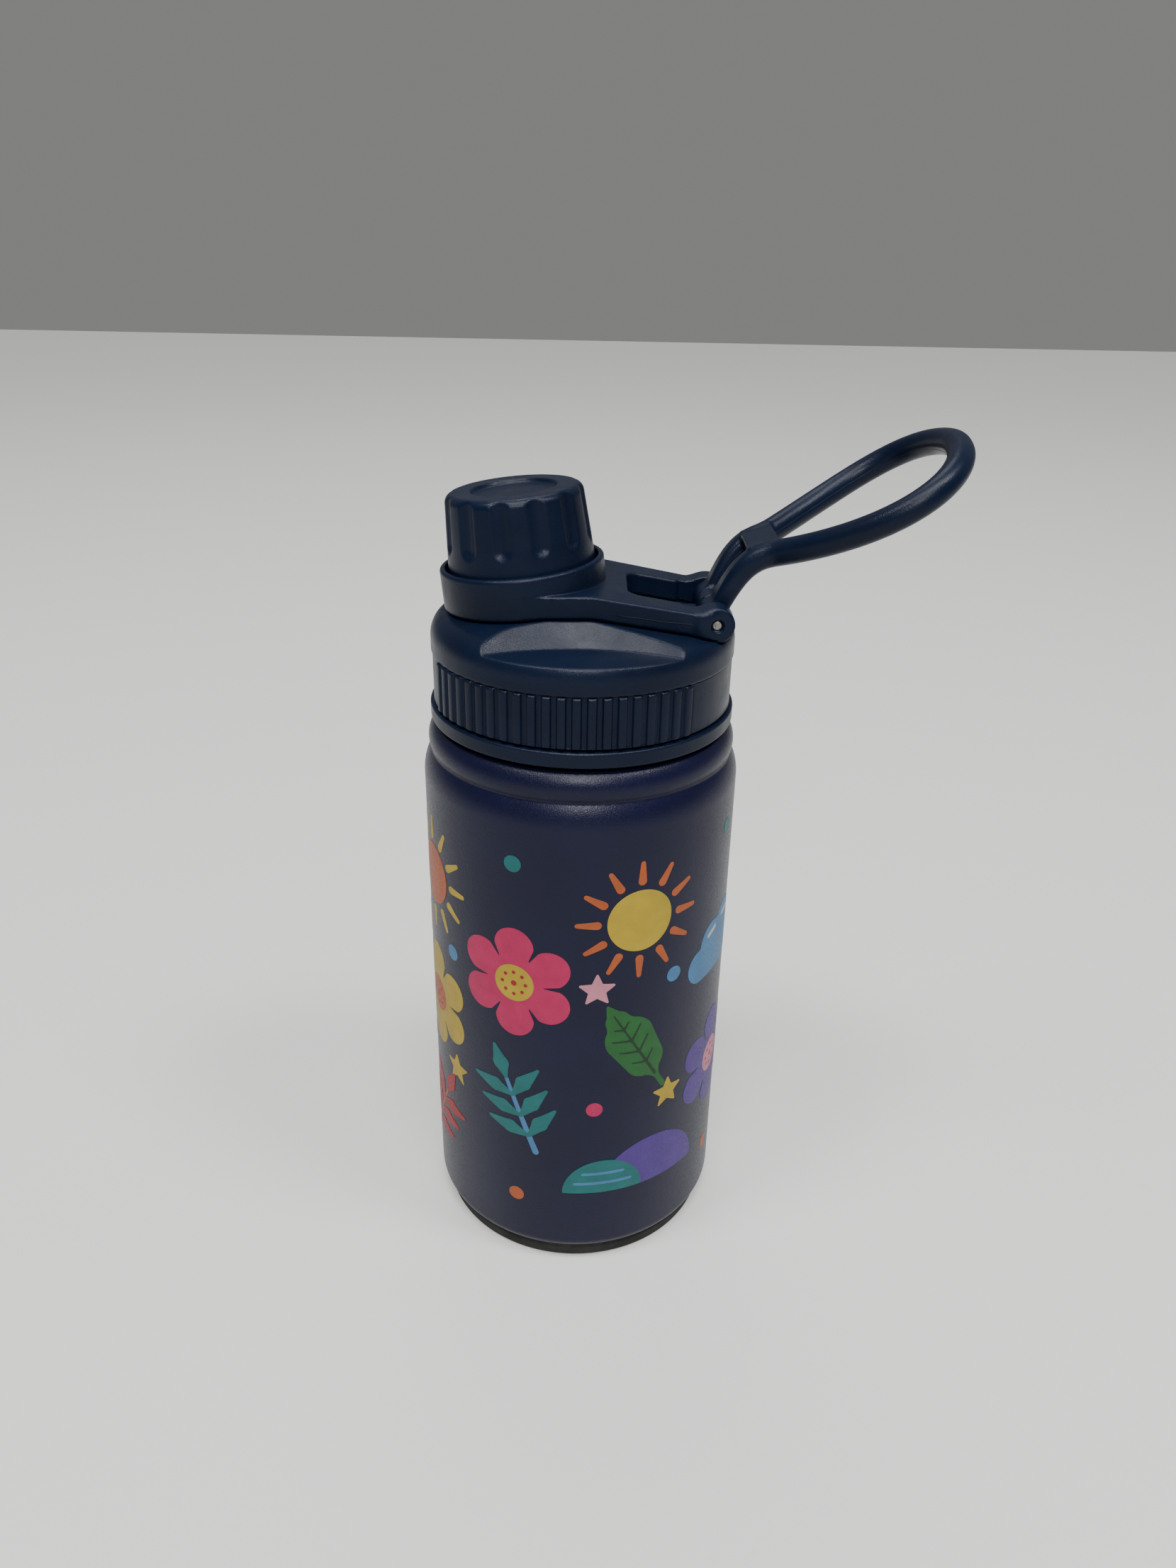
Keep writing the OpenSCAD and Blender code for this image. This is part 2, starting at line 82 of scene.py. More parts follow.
FLANGE_R = 34.45
FLANGE_Z = low("lid_liner")[2]
FLANGE_TOP = 139.7
LINER_IN = 30.9
LINER_OUT = 32.1
PLATE_Z = 152.0
PLATE_TOP = high("lid_liner")[2]
BAND_R = 33.6
BAND_Z = low("lid_shell")[2]
DOME_Z = 151.5
DOME_R = 33.9
SHELL_IN = 32.2
RIB_FIRST = 48.8
RIB_STEP = 5.3
RIB_COUNT = 21
RIM_R = 5.3
CAVITY_R = 29.5
CAVITY_Z = 155.9
LEDGE_Z = 157.4
SCOOP_R = 46.0
SCOOP_X = 0.5
SCOOP_Y = SCOOP_R + 21.4

SPOUT_X = 12.7
SPOUT_HOLE_R = 8.95
RING_Z = 162.0
LEAN = math.radians(5.9)
RING_R = 18.0
RING_H = 8.9
RING_BORE = 16.75
FOOT_BORE = 16.25
LIP_BORE = 14.2
LIP_Z = 1.8
LIP_TOP = 3.2
KNOB_R = 16.0
KNOB_TOP_R = 14.9
KNOB_H = 24.3
KNOB_FOOT = 3.5
KNOB_BORE = 13.3
KNOB_ROOF = 2.4
DISH_R = 8.9
DISH_D = 0.9
FLUTES = 12
FLUTE_PHASE = math.radians(21)
FLUTE_R = 3.0
FLUTE_D = 0.8
FLUTE_Z = RING_H + 5.6

PIN_X = 28.3
PIN_Z = 161.1
PIN_R = 1.0
PIN_GAP = 0.06
LUG_R = 3.2
LUG_HALF = 2.6
PIN_HALF = high("hinge_pin")[1]
EAR_R = 3.8
EAR_OUT = 15.5
EAR_IN = 10.0
STRAP_PEAK = RING_Z + 5.3
STRAP_T = 4.8
FALL = math.tan(math.radians(9.4))
TOP_GAP = 0.35
TOP_Z = 162.2
SLOT_X = 9.6
SLOT_HALF = 8.7
SLOT_CORNER = 3.0
GAP_X = 21.5

LOOP_BAR = 2.8
LEG_Y = 6.25
KNUCKLE_HALF = 3.2
ROOT_Y = 8.2
BEND = (40.0, 175.0)
CLIMB = math.radians(22.1)
CURL = 0.0035
LOOP_LEN = 42.4


# ---- outlines and surfaces of revolution -----------------------------------
def rounded(corners, step=10):
    """Closed outline through corners (x, y, radius), each rounded by an arc of its radius."""
    out = []
    count = len(corners)
    for i, (x, y, r) in enumerate(corners):
        p = np.array([x, y], float)
        if r == 0:
            out.append(p)
            continue
        a = np.array(corners[i - 1][:2]) - p
        b = np.array(corners[(i + 1) % count][:2]) - p
        a /= np.linalg.norm(a)
        b /= np.linalg.norm(b)
        half = math.acos(np.clip(a @ b, -1, 1)) / 2
        reach = r / math.tan(half)
        middle = a + b
        centre = p + middle / np.linalg.norm(middle) * r / math.sin(half)
        first = math.atan2(*(p + a * reach - centre)[::-1])
        last = math.atan2(*(p + b * reach - centre)[::-1])
        sweep = (last - first + math.pi) % (2 * math.pi) - math.pi
        parts = max(2, math.ceil(abs(sweep) / math.radians(step)))
        for j in range(parts + 1):
            angle = first + sweep * j / parts
            out.append(centre + r * np.array([math.cos(angle), math.sin(angle)]))
    return out


def arc(cx, cy, r, first, last, parts=10):
    """Points of an arc, its angles in degrees."""
    angles = np.radians(np.linspace(first, last, parts + 1))
    return [np.array([cx + r * math.cos(a), cy + r * math.sin(a)]) for a in angles]


def guarded(outline, gap=0.12, longest=3.0):
    """The outline with extra points on its long sides, so that smooth shading stays flat there."""
    out = []
    for p, q in zip(outline, outline[1:] + outline[:1]):
        length = np.linalg.norm(q - p)
        out.append(p)
        if length > 4 * gap:
            along = (q - p) / length
            inner = np.linspace(gap, length - gap, max(2, math.ceil(length / longest) + 1))
            out += [p + along * s for s in inner]
    return out


def lathe(outline, segments=256, push=None):
    """Points and faces of a closed outline (r, z) turned about Z.

    push(angle, r, z) says how far each point moves outwards.
    """
    ring = np.array(outline)
    angles = np.arange(segments) * 2 * math.pi / segments
    r = np.repeat(ring[None, :, 0], segments, 0)
    z = np.repeat(ring[None, :, 1], segments, 0)
    a = np.repeat(angles[:, None], len(ring), 1)
    if push:
        r = r + push(a, r, z)
    points = np.stack([r * np.cos(a), r * np.sin(a), z], -1).reshape(-1, 3)
    index = np.arange(segments * len(ring)).reshape(segments, len(ring))
    beside = np.roll(index, -1, 0)
    faces = np.stack(
        [index, beside, np.roll(beside, -1, 1), np.roll(index, -1, 1)], -1
    ).reshape(-1, 4)
    return points, faces


# ---- fields: below zero inside a shape --------------------------------------
def both(a, b, r):
    """Inside a and b, with the edge between them rounded."""
    return np.minimum(-r, np.maximum(a, b)) + np.hypot(np.maximum(r + a, 0), np.maximum(r + b, 0))


def cut(a, b, r):
    """Inside a and outside b, with rounded edges."""
    return both(a, -b, r)


def join(a, b, r):
    """Inside a or b, with a fillet where they meet."""
    return np.maximum(r, np.minimum(a, b)) - np.hypot(np.maximum(r - a, 0), np.maximum(r - b, 0))


def outline_field(outline):
    """Signed distance to a closed outline, as a function of two coordinates."""
    ends = [tuple(p) for p in outline]

    def field(x, y):
        nearest = np.full(x.shape, 1e9)
        inside = np.zeros(x.shape, bool)
        for (ax, ay), (bx, by) in zip(ends, ends[1:] + ends[:1]):
            ex, ey = bx - ax, by - ay
            if ex == ey == 0:
                continue
            wx, wy = x - ax, y - ay
            t = np.clip((wx * ex + wy * ey) / (ex * ex + ey * ey), 0, 1)
            nearest = np.minimum(nearest, (wx - t * ex) ** 2 + (wy - t * ey) ** 2)
            if ey:
                inside ^= ((ay > y) != (by > y)) & (wx < ex * wy / ey)
        return np.where(inside, -1, 1) * np.sqrt(nearest)

    return field


def slab(q, half, r):
    """Rounded box |q| < half in two or three coordinates, with edge radius r."""
    over = [np.abs(c) - h + r for c, h in zip(q, half)]
    outside = np.sqrt(sum(np.maximum(c, 0) ** 2 for c in over))
    return outside + np.minimum(np.maximum.reduce(over), 0) - r


def mesh_field(field, lowest, highest, cell, block=8, slack=1.6):
    """Points and quads of a field's zero surface.

    Each grid cell that the surface crosses gets one point, which is then moved onto it.
    """
    lowest = np.array(lowest, float)
    blocks = np.ceil((np.array(highest) - lowest) / (cell * block)).astype(int)
    shape = tuple(blocks * block)
    middles = np.stack(np.meshgrid(*[np.arange(n) for n in blocks], indexing="ij"), -1)
    middles = lowest + (middles + 0.5) * block * cell
    coarse = field(*np.moveaxis(middles, -1, 0))
    near = np.abs(coarse) < block * cell * slack
    fine = np.repeat(np.repeat(np.repeat(near, block, 0), block, 1), block, 2)
    values = np.repeat(np.repeat(np.repeat(coarse, block, 0), block, 1), block, 2)
    where = np.argwhere(fine)
    values[fine] = field(*(lowest + where * cell).T)
    inside = values < 0

    sets = [inside[i : shape[0] - 1 + i, j : shape[1] - 1 + j, k : shape[2] - 1 + k]
            for i in (0, 1) for j in (0, 1) for k in (0, 1)]
    full = np.sum(sets, 0)
    cells = np.argwhere((full > 0) & (full < 8))
    number = np.full(full.shape, -1)
    number[tuple(cells.T)] = np.arange(len(cells))

    total = np.zeros((len(cells), 3))
    hits = np.zeros(len(cells))
    corners = [(i, j, k) for i in (0, 1) for j in (0, 1) for k in (0, 1)]
    for a in corners:
        for axis in range(3):
            if a[axis]:
                continue
            b = tuple(a[n] + (n == axis) for n in range(3))
            fa = values[tuple((cells + a).T)]
            fb = values[tuple((cells + b).T)]
            crosses = (fa < 0) != (fb < 0)
            t = np.where(crosses, fa / np.where(crosses, fa - fb, 1), 0)
            step = np.array(a) + t[:, None] * (np.array(b) - a)
            total += np.where(crosses[:, None], step, 0)
            hits += crosses
    points = lowest + (cells + total / hits[:, None]) * cell

    faces = []
    for axis in range(3):
        u, v = (axis + 1) % 3, (axis + 2) % 3
        first = [slice(1, -1)] * 3
        first[axis] = slice(0, -1)
        second = list(first)
        second[axis] = slice(1, None)
        here, there = inside[tuple(first)], inside[tuple(second)]
        edges = np.argwhere(here != there) + [0 if n == axis else 1 for n in range(3)]
        corner = []
        for du, dv in ((-1, -1), (0, -1), (0, 0), (-1, 0)):
            at = edges.copy()
            at[:, u] += du
            at[:, v] += dv
            corner.append(number[tuple(at.T)])
        quads = np.stack(corner, -1)
        outward = inside[tuple(edges.T)]
        faces.append(np.where(outward[:, None], quads, quads[:, ::-1]))
    faces = np.concatenate(faces)

    eps = 0.01
    for _ in range(2):
        value = field(*points.T)
        slope = np.stack([(field(*(points + eps * d).T) - value) / eps for d in np.eye(3)], -1)
        size = np.maximum((slope ** 2).sum(1), 0.1)
        step = -value[:, None] * slope / size[:, None]
        far = np.linalg.norm(step, axis=1, keepdims=True)
        points = points + step * np.minimum(1, 0.5 * cell / np.maximum(far, 1e-9))
    return points, faces


def tube(line, r, sides=8):
    """Closed round tube along points in millimetres."""
    line = np.array(line, float)
    ahead = np.gradient(line, axis=0)
    ahead /= np.linalg.norm(ahead, axis=1)[:, None]
    side = np.cross(ahead, [0.31, 0.17, 0.93])
    side /= np.linalg.norm(side, axis=1)[:, None]
    up = np.cross(side, ahead)
    angles = np.arange(sides) * 2 * math.pi / sides
    points = (line[:, None] + r * (np.cos(angles)[None, :, None] * side[:, None]
                                   + np.sin(angles)[None, :, None] * up[:, None])).reshape(-1, 3)
    index = np.arange(len(line) * sides).reshape(-1, sides)
    turned = np.roll(index, -1, 1)
    walls = np.stack([index[:-1], index[1:], turned[1:], turned[:-1]], -1).reshape(-1, 4).tolist()
    return points, walls + [index[0].tolist(), index[-1][::-1].tolist()]


# ---- pieces ------------------------------------------------------------------
def piece(name, shapes, body, materials, replaced=(), sharp=None):
    """One object of (points, faces) shapes in millimetres, smooth, riding on a CAD body.

    The first shape gets the first material, and so on; the last material serves the rest.
    """
    points, faces, paint = [], [], []
    for number, (shape_points, shape_faces) in enumerate(shapes):
        start = len(points)
        points += (np.array(shape_points) * MM).tolist()
        faces += [[i + start for i in face] for face in
                  (shape_faces.tolist() if hasattr(shape_faces, "tolist") else shape_faces)]
        paint += [min(number, len(materials) - 1)] * (len(faces) - len(paint))
    mesh = bpy.data.meshes.new(name)
    mesh.from_pydata(points, [], faces)
    mesh.polygons.foreach_set("material_index", paint)
    clean(mesh)
    if sharp:
        mesh.set_sharp_from_angle(angle=math.radians(sharp))
    for material in materials:
        mesh.materials.append(material)
    obj = bpy.data.objects.new(name, mesh)
    bpy.context.scene.collection.objects.link(obj)
    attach(obj, body)
    if replaced:
        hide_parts(*replaced)
    return obj


def clean(mesh):
    """Merges the doubled points of poles, turns every face outwards and shades the mesh smooth."""
    bm = bmesh.new()
    bm.from_mesh(mesh)
    bmesh.ops.remove_doubles(bm, verts=bm.verts, dist=1e-7)
    bmesh.ops.dissolve_degenerate(bm, edges=bm.edges, dist=1e-8)
    bmesh.ops.recalc_face_normals(bm, faces=bm.faces)
    bm.to_mesh(mesh)
    bm.free()
    mesh.shade_smooth()


def on_lean(x, y, z):
    """Coordinates along the knob's leaning frame: across, y and height above the ring's underside."""
    dx, dz = x + SPOUT_X, z - RING_Z
    c, s = math.cos(LEAN), math.sin(LEAN)
    return dx * c + dz * s, y, dz * c - dx * s


# ---- materials ---------------------------------------------------------------
def srgb(r, g, b):
    """Linear colour of an 8-bit screen colour."""
    def channel(value):
        value /= 255
        return value / 12.92 if value <= 0.04045 else ((value + 0.055) / 1.055) ** 2.4
    return (channel(r), channel(g), channel(b), 1.0)


class Surface:
    """A Principled material under construction; texture sizes are in millimetres."""

    def __init__(self, name, **constants):
        self.material = bpy.data.materials.new(name)
        self.material.use_nodes = True
        self.tree = self.material.node_tree
        self.shader = self.tree.nodes["Principled BSDF"]
        for socket, value in constants.items():
            self.shader.inputs[socket.replace("_", " ")].default_value = value
        self.place = self.tree.nodes.new("ShaderNodeTexCoord").outputs["Object"]
        self.normal = None

    def node(self, kind, **inputs):
        made = self.tree.nodes.new(kind)
        for socket, value in inputs.items():
            self.feed(made.inputs[socket.replace("_", " ")], value)
        return made

    def feed(self, socket, value):
        if isinstance(value, bpy.types.NodeSocket):
            self.tree.links.new(value, socket)
        else:
            socket.default_value = value

    def stretched(self, x, y, z):
        mapping = self.node("ShaderNodeMapping", Vector=self.place)
        mapping.inputs["Scale"].default_value = (x, y, z)
        return mapping.outputs["Vector"]

    def noise(self, size, detail=2.0, rough=0.5, place=None):
        made = self.node("ShaderNodeTexNoise", Vector=place or self.place, Scale=1 / (size * MM),
                         Detail=detail, Roughness=rough)
        return made.outputs["Fac"]

    def cells(self, size, place=None):
        made = self.node("ShaderNodeTexVoronoi", Vector=place or self.place, Scale=1 / (size * MM))
        return made.outputs["Distance"]

    def ramp(self, fac, *stops):
        made = self.node("ShaderNodeValToRGB", Fac=fac)
        elements = made.color_ramp.elements
        while len(elements) < len(stops):
            elements.new(0.5)
        for element, (position, colour) in zip(elements, stops):
            element.position = position
            element.color = colour if hasattr(colour, "__len__") else (colour, colour, colour, 1)
        return made.outputs["Color"]

    def bump(self, height, depth, strength=1.0):
        """Adds a relief of this depth in millimetres to those already there."""
        made = self.node("ShaderNodeBump", Height=height, Strength=strength, Distance=depth * MM)
        if self.normal:
            self.tree.links.new(self.normal, made.inputs["Normal"])
        self.normal = made.outputs["Normal"]

    def done(self, colour=None, roughness=None):
        if colour is not None:
            self.feed(self.shader.inputs["Base Color"], colour)
        if roughness is not None:
            self.feed(self.shader.inputs["Roughness"], roughness)
        if self.normal:
            self.tree.links.new(self.normal, self.shader.inputs["Normal"])
        return self.material


def shade(colour, factor):
    return tuple(min(1.0, c * factor) for c in colour[:3]) + (1.0,)


def powder_coat():
    s = Surface("powder_coat", Specular_IOR_Level=0.20)
    navy = (0.0028, 0.0032, 0.0165, 1)
    patches = s.noise(16, 3)
    s.bump(s.noise(1.3, 2), 0.015)
    s.bump(s.noise(0.26, 1), 0.048)
    rough = s.ramp(s.noise(0.5, 2), (0.3, 0.30), (0.7, 0.42))
    return s.done(s.ramp(patches, (0.35, shade(navy, 0.9)), (0.65, shade(navy, 1.12))), rough)


def moulded_plastic(name, colour, grain=0.26, depth=0.042, low_rough=0.29, high_rough=0.40):
    """Plastic from a spark-eroded mould: fine sharp grain, faint flow marks, rubbed patches."""
    s = Surface(name, Specular_IOR_Level=0.13)
    s.bump(s.noise(grain, 1), depth)
    s.bump(s.noise(grain * 5, 2), depth * 0.3)
    flow = s.noise(22, 3, place=s.stretched(1, 1, 2.5))
    rough = s.ramp(s.noise(6, 3), (0.3, low_rough), (0.7, high_rough))
    return s.done(s.ramp(flow, (0.35, shade(colour, 0.88)), (0.65, shade(colour, 1.14))), rough)


def rubber():
    s = Surface("pad_rubber", Specular_IOR_Level=0.35)
    s.bump(s.noise(0.4, 3), 0.03)
    dust = s.ramp(s.noise(9, 4), (0.4, (0.007, 0.007, 0.0065, 1)), (0.75, (0.015, 0.0145, 0.013, 1)))
    return s.done(dust, s.ramp(s.noise(3), (0.3, 0.68), (0.7, 0.85)))


def brushed_steel(name="brushed_steel", tone=0.60):
    s = Surface(name, Metallic=1.0, Anisotropic=0.35)
    lines = s.noise(0.35, 3, place=s.stretched(0.12, 0.12, 1))
    s.bump(lines, 0.006)
    colour = s.ramp(s.noise(14, 3), (0.3, (tone, tone, tone * 1.01, 1)),
                    (0.7, (tone * 1.12, tone * 1.12, tone * 1.12, 1)))
    return s.done(colour, s.ramp(lines, (0.35, 0.22), (0.65, 0.38)))


def pin_steel():
    s = Surface("pin_steel", Metallic=1.0)
    s.bump(s.noise(0.5, 4, 0.7), 0.03)
    colour = s.ramp(s.noise(0.6, 3), (0.35, (0.16, 0.155, 0.14, 1)), (0.7, (0.34, 0.325, 0.30, 1)))
    return s.done(colour, s.ramp(s.noise(0.3, 2), (0.3, 0.38), (0.7, 0.6)))


def copper_foil():
    s = Surface("copper_foil", Metallic=1.0)
    creases = s.cells(7)
    s.bump(creases, 0.5)
    s.bump(s.noise(1.4, 4), 0.08)
    colour = s.ramp(s.noise(5, 4), (0.3, (0.72, 0.34, 0.20, 1)), (0.7, (0.84, 0.46, 0.30, 1)))
    return s.done(colour, s.ramp(creases, (0.0, 0.18), (0.8, 0.35)))


def sintered(name, tone, grain):
    s = Surface(name, Metallic=0.85)
    s.bump(s.cells(grain), 0.12)
    colour = s.ramp(s.noise(grain * 2, 3), (0.3, tone * 0.8), (0.7, tone * 1.2))
    return s.done(colour, s.ramp(s.noise(grain), (0.3, 0.5), (0.7, 0.75)))


def soft_white(name, colour, grain, depth, rough):
    """Silicone, film, natural plastic or foam: pale, slightly mottled, with its own grain."""
    s = Surface(name, Specular_IOR_Level=0.4, Subsurface_Weight=0.15, Subsurface_Scale=0.002)
    s.bump(s.cells(grain), depth)
    s.bump(s.noise(grain * 0.5, 3), depth * 0.5)
    mottled = s.ramp(s.noise(7, 3), (0.3, shade(colour, 0.93)), (0.7, colour))
    return s.done(mottled, s.ramp(s.noise(grain * 3), (0.3, rough - 0.08), (0.7, rough + 0.08)))


def print_ink(name, colour):
    """Screen-printed ink on the powder coat: the coat's relief shows through it, softened."""
    s = Surface("ink_" + name, Specular_IOR_Level=0.25)
    s.bump(s.noise(1.3, 2), 0.012)
    s.bump(s.noise(0.24, 1), 0.02)
    tint = s.ramp(s.noise(4, 4), (0.3, shade(colour, 0.38)), (0.7, shade(colour, 0.47)))
    return s.done(tint, s.ramp(s.noise(0.6), (0.3, 0.42), (0.7, 0.56)))


LID_NAVY = (0.0020, 0.0048, 0.0145, 1)
coat = powder_coat()
lid_plastic = moulded_plastic("lid_plastic", LID_NAVY)
steel = brushed_steel()
silicone = soft_white("silicone", (0.62, 0.64, 0.64, 1), 0.9, 0.01, 0.45)


# ---- bottle ---------------------------------------------------------------------
def helix(root, depth, z0, pitch, turns, foot, crest, inwards=False):
    """push() of a helical thread ridge on the wall of radius root.

    foot and crest are the ridge's widths at the wall and at its top.
    """
    def push(angle, r, z):
        out = np.zeros(r.shape)
        for lap in range(math.ceil(turns) + 1):
            turn = angle / (2 * math.pi) + lap
            beside = np.abs(z - (z0 + pitch * turn))
            ridge = np.clip((foot / 2 - beside) / (foot / 2 - crest / 2), 0, 1)
            ends = np.clip(np.minimum(turn, turns - turn) / 0.08, 0, 1)
            ridge = ridge * ridge * (3 - 2 * ridge) * ends
            out = np.maximum(out, ridge)
        out = np.where(np.abs(r - root) < 0.02, depth * out, 0)
        return -out if inwards else out
    return push


def body_side(z):
    """Radius of the outside between the foot and the deck: wall, shoulder, groove and bead."""
    shoulder = BODY_R - SHOULDER_R + math.sqrt(max(SHOULDER_R ** 2 - max(z - WALL_TOP, 0) ** 2, 0))
    bead = BEAD_X + math.sqrt(max(BEAD_R ** 2 - (z - BEAD_Z) ** 2, 0))
    blend = 0.5
    return max(shoulder, bead) + max(blend - abs(shoulder - bead), 0) ** 2 / (4 * blend)


def inset(outline, t):
    """The open outline moved t to its left."""
    ring = np.array(outline)
    along = np.gradient(ring, axis=0)
    along /= np.linalg.norm(along, axis=1)[:, None]
    return ring + t * np.stack([-along[:, 1], along[:, 0]], -1)


def bottle_body():
    foot = [np.array([CAP_R, BASE_Z])] + arc(BODY_R - FOOT_R, BASE_Z + FOOT_R, FOOT_R, -90, 0, 12)
    levels = np.concatenate([np.linspace(BASE_Z + FOOT_R + 0.4, WALL_TOP - 0.5, 56),
                             np.linspace(WALL_TOP, BEAD_Z + 3.2, 60)])
    side = [np.array([body_side(z), z]) for z in levels]
    bead_end = math.degrees(math.asin(3.2 / BEAD_R))
    crown = arc(BEAD_X, BEAD_Z, BEAD_R, bead_end + 2, 50, 4)
    deck = rounded([(crown[-1][0], crown[-1][1], 0), (BEAD_X + 2.1, DECK_Z, 0.7), (NECK_R, DECK_Z, 1.0),
                    (NECK_R, SHELL_TOP, 0)])[1:-1]
    neck = [np.array([NECK_R, z]) for z in np.arange(deck[-1][1] + 0.25, SHELL_TOP - 0.2, 0.2)]
    outside = foot + side + crown + deck + neck + [np.array([NECK_R, SHELL_TOP])]
    inner = inset(outside, STEEL_T)[1:-1:3]
    inner = ([np.array([NECK_R - STEEL_T, SHELL_TOP])] + list(inner[::-1])
             + [np.array([CAP_R, BASE_Z + STEEL_T])])
    thread = helix(NECK_R, 1.1, 141.0, THREAD_PITCH, THREAD_TURNS, 1.9, 0.9)
    shapes = [lathe(outside + inner, push=thread)]
    obj = piece("powder_coated_body", shapes, "bottle", [coat, steel], ["outer_shell"])
    for face in obj.data.polygons:
        face.material_index = int(face.center.z > (DECK_Z + 1.1) * MM)
    return obj


def base_pad():
    grooves = [(r + dx, z, 0.3) for r in (18, 22, 26, 30)
               for dx, z in ((-1.1, 0), (-0.5, 0.75), (0.5, 0.75), (1.1, 0))]
    outline = rounded([(0, PAD_TOP, 0), (0, 0, 0)] + grooves
                      + [(PAD_R, 0, 0.7), (PAD_R, 2.6, 0.5), (PAD_R - 0.9, PAD_TOP, 0.5)])
    return piece("rubber_base_pad", [lathe(guarded(outline))], "bottle",
                 [rubber()], ["base_pad"])


# ---- lid --------------------------------------------------------------------------
def bored(obj, radius, x, lean):
    """Cuts a round hole through a piece, along an axis at x that leans from Z."""
    points, faces = lathe([(0, -30), (radius, -30), (radius, 30), (0, 30)], 96)
    mesh = bpy.data.meshes.new("drill")
    mesh.from_pydata((points * MM).tolist(), [], faces.tolist())
    clean(mesh)
    drill = bpy.data.objects.new("drill", mesh)
    drill.rotation_euler = (0, -lean, 0)
    drill.location = (x * MM, 0, RING_Z * MM)
    bpy.context.scene.collection.objects.link(drill)
    modifier = obj.modifiers.new("bore", "BOOLEAN")
    modifier.object = drill
    bpy.context.view_layer.update()
    bored_obj = obj.evaluated_get(bpy.context.evaluated_depsgraph_get())
    bored_mesh = bpy.data.meshes.new_from_object(bored_obj)
    obj.modifiers.clear()
    obj.data = bored_mesh
    bpy.data.objects.remove(drill)


def liner():
    thread_z = np.arange(139.2, 150.6, 0.22)
    corners = rounded([(LINER_IN, thread_z[0], 0), (LINER_IN, FLANGE_Z, 0.4), (FLANGE_R, FLANGE_Z, 0.7),
                       (FLANGE_R, FLANGE_TOP, 0.5), (LINER_OUT, FLANGE_TOP, 0.2),
                       (LINER_OUT, PLATE_TOP, 0.3), (0, PLATE_TOP, 0), (0, PLATE_Z, 0),
                       (LINER_IN, PLATE_Z, 0.4)])
    outline = corners[1:] + [np.array([LINER_IN, z]) for z in thread_z[::-1]]
    thread = helix(LINER_IN, 1.0, 142.825, THREAD_PITCH, THREAD_TURNS, 1.5, 0.8, inwards=True)
    obj = piece("screw_liner", [lathe(guarded(outline), push=thread)], "lid",
                [lid_plastic], ["lid_liner"])
    bored(obj, 7.0, -SPOUT_X, LEAN)
    return obj


def grip_band():
    """The ribbed band: flat-topped ribs on both sides, smooth towards the hinge."""
    rows = np.concatenate([np.linspace(BAND_Z + 0.35, BAND_Z + 1.2, 6),
                           np.linspace(BAND_Z + 1.8, DOME_Z - 1.4, 10),
                           np.linspace(DOME_Z - 1.0, DOME_Z - 0.12, 7)])
    outer = [np.array([BAND_R, z]) for z in rows]
    outline = ([np.array([SHELL_IN, BAND_Z + 0.2]), np.array([BAND_R - 0.35, BAND_Z + 0.2]),
                np.array([BAND_R - 0.1, BAND_Z + 0.26])] + outer
               + [np.array([BAND_R - 0.1, DOME_Z]), np.array([SHELL_IN, DOME_Z])])
    rib_out, groove, rib_half, rib_side = 0.58, 0.22, 1.08, 0.34

    def ribs(angle, r, z):
        degrees = np.abs((np.degrees(angle) + 180) % 360 - 180)
        place = (degrees - RIB_FIRST) / RIB_STEP
        nearest = np.clip(np.round(place), 0, RIB_COUNT - 1)
        off = np.abs(place - nearest) * math.radians(RIB_STEP) * BAND_R
        across = np.clip((rib_half - off) / rib_side, 0, 1)
        foot = np.clip((z - BAND_Z - 0.3) / 0.35, 0, 1)
        head = np.clip((DOME_Z - 0.05 - z) / 0.35, 0, 1)
        crown = 1 - 0.15 * np.clip(off / rib_half, 0, 1) ** 2
        rise = across * across * (3 - 2 * across) * np.sqrt(foot * head) * crown
        among = np.clip((place + 0.6) / 0.25, 0, 1) * np.clip((RIB_COUNT - 0.4 - place) / 0.25, 0, 1)
        sunk = groove * among * foot * head
        return np.where(np.abs(r - BAND_R) < 0.02, (rib_out + sunk) * rise - sunk, 0)

    return piece("grip_band", [lathe(outline, 1440, ribs)], "lid",
                 [lid_plastic], ["lid_shell"])


def strap_top(x):
    """Height of the strap's top, which falls towards the hinge."""
    return STRAP_PEAK - np.maximum(x - 2, 0) * FALL


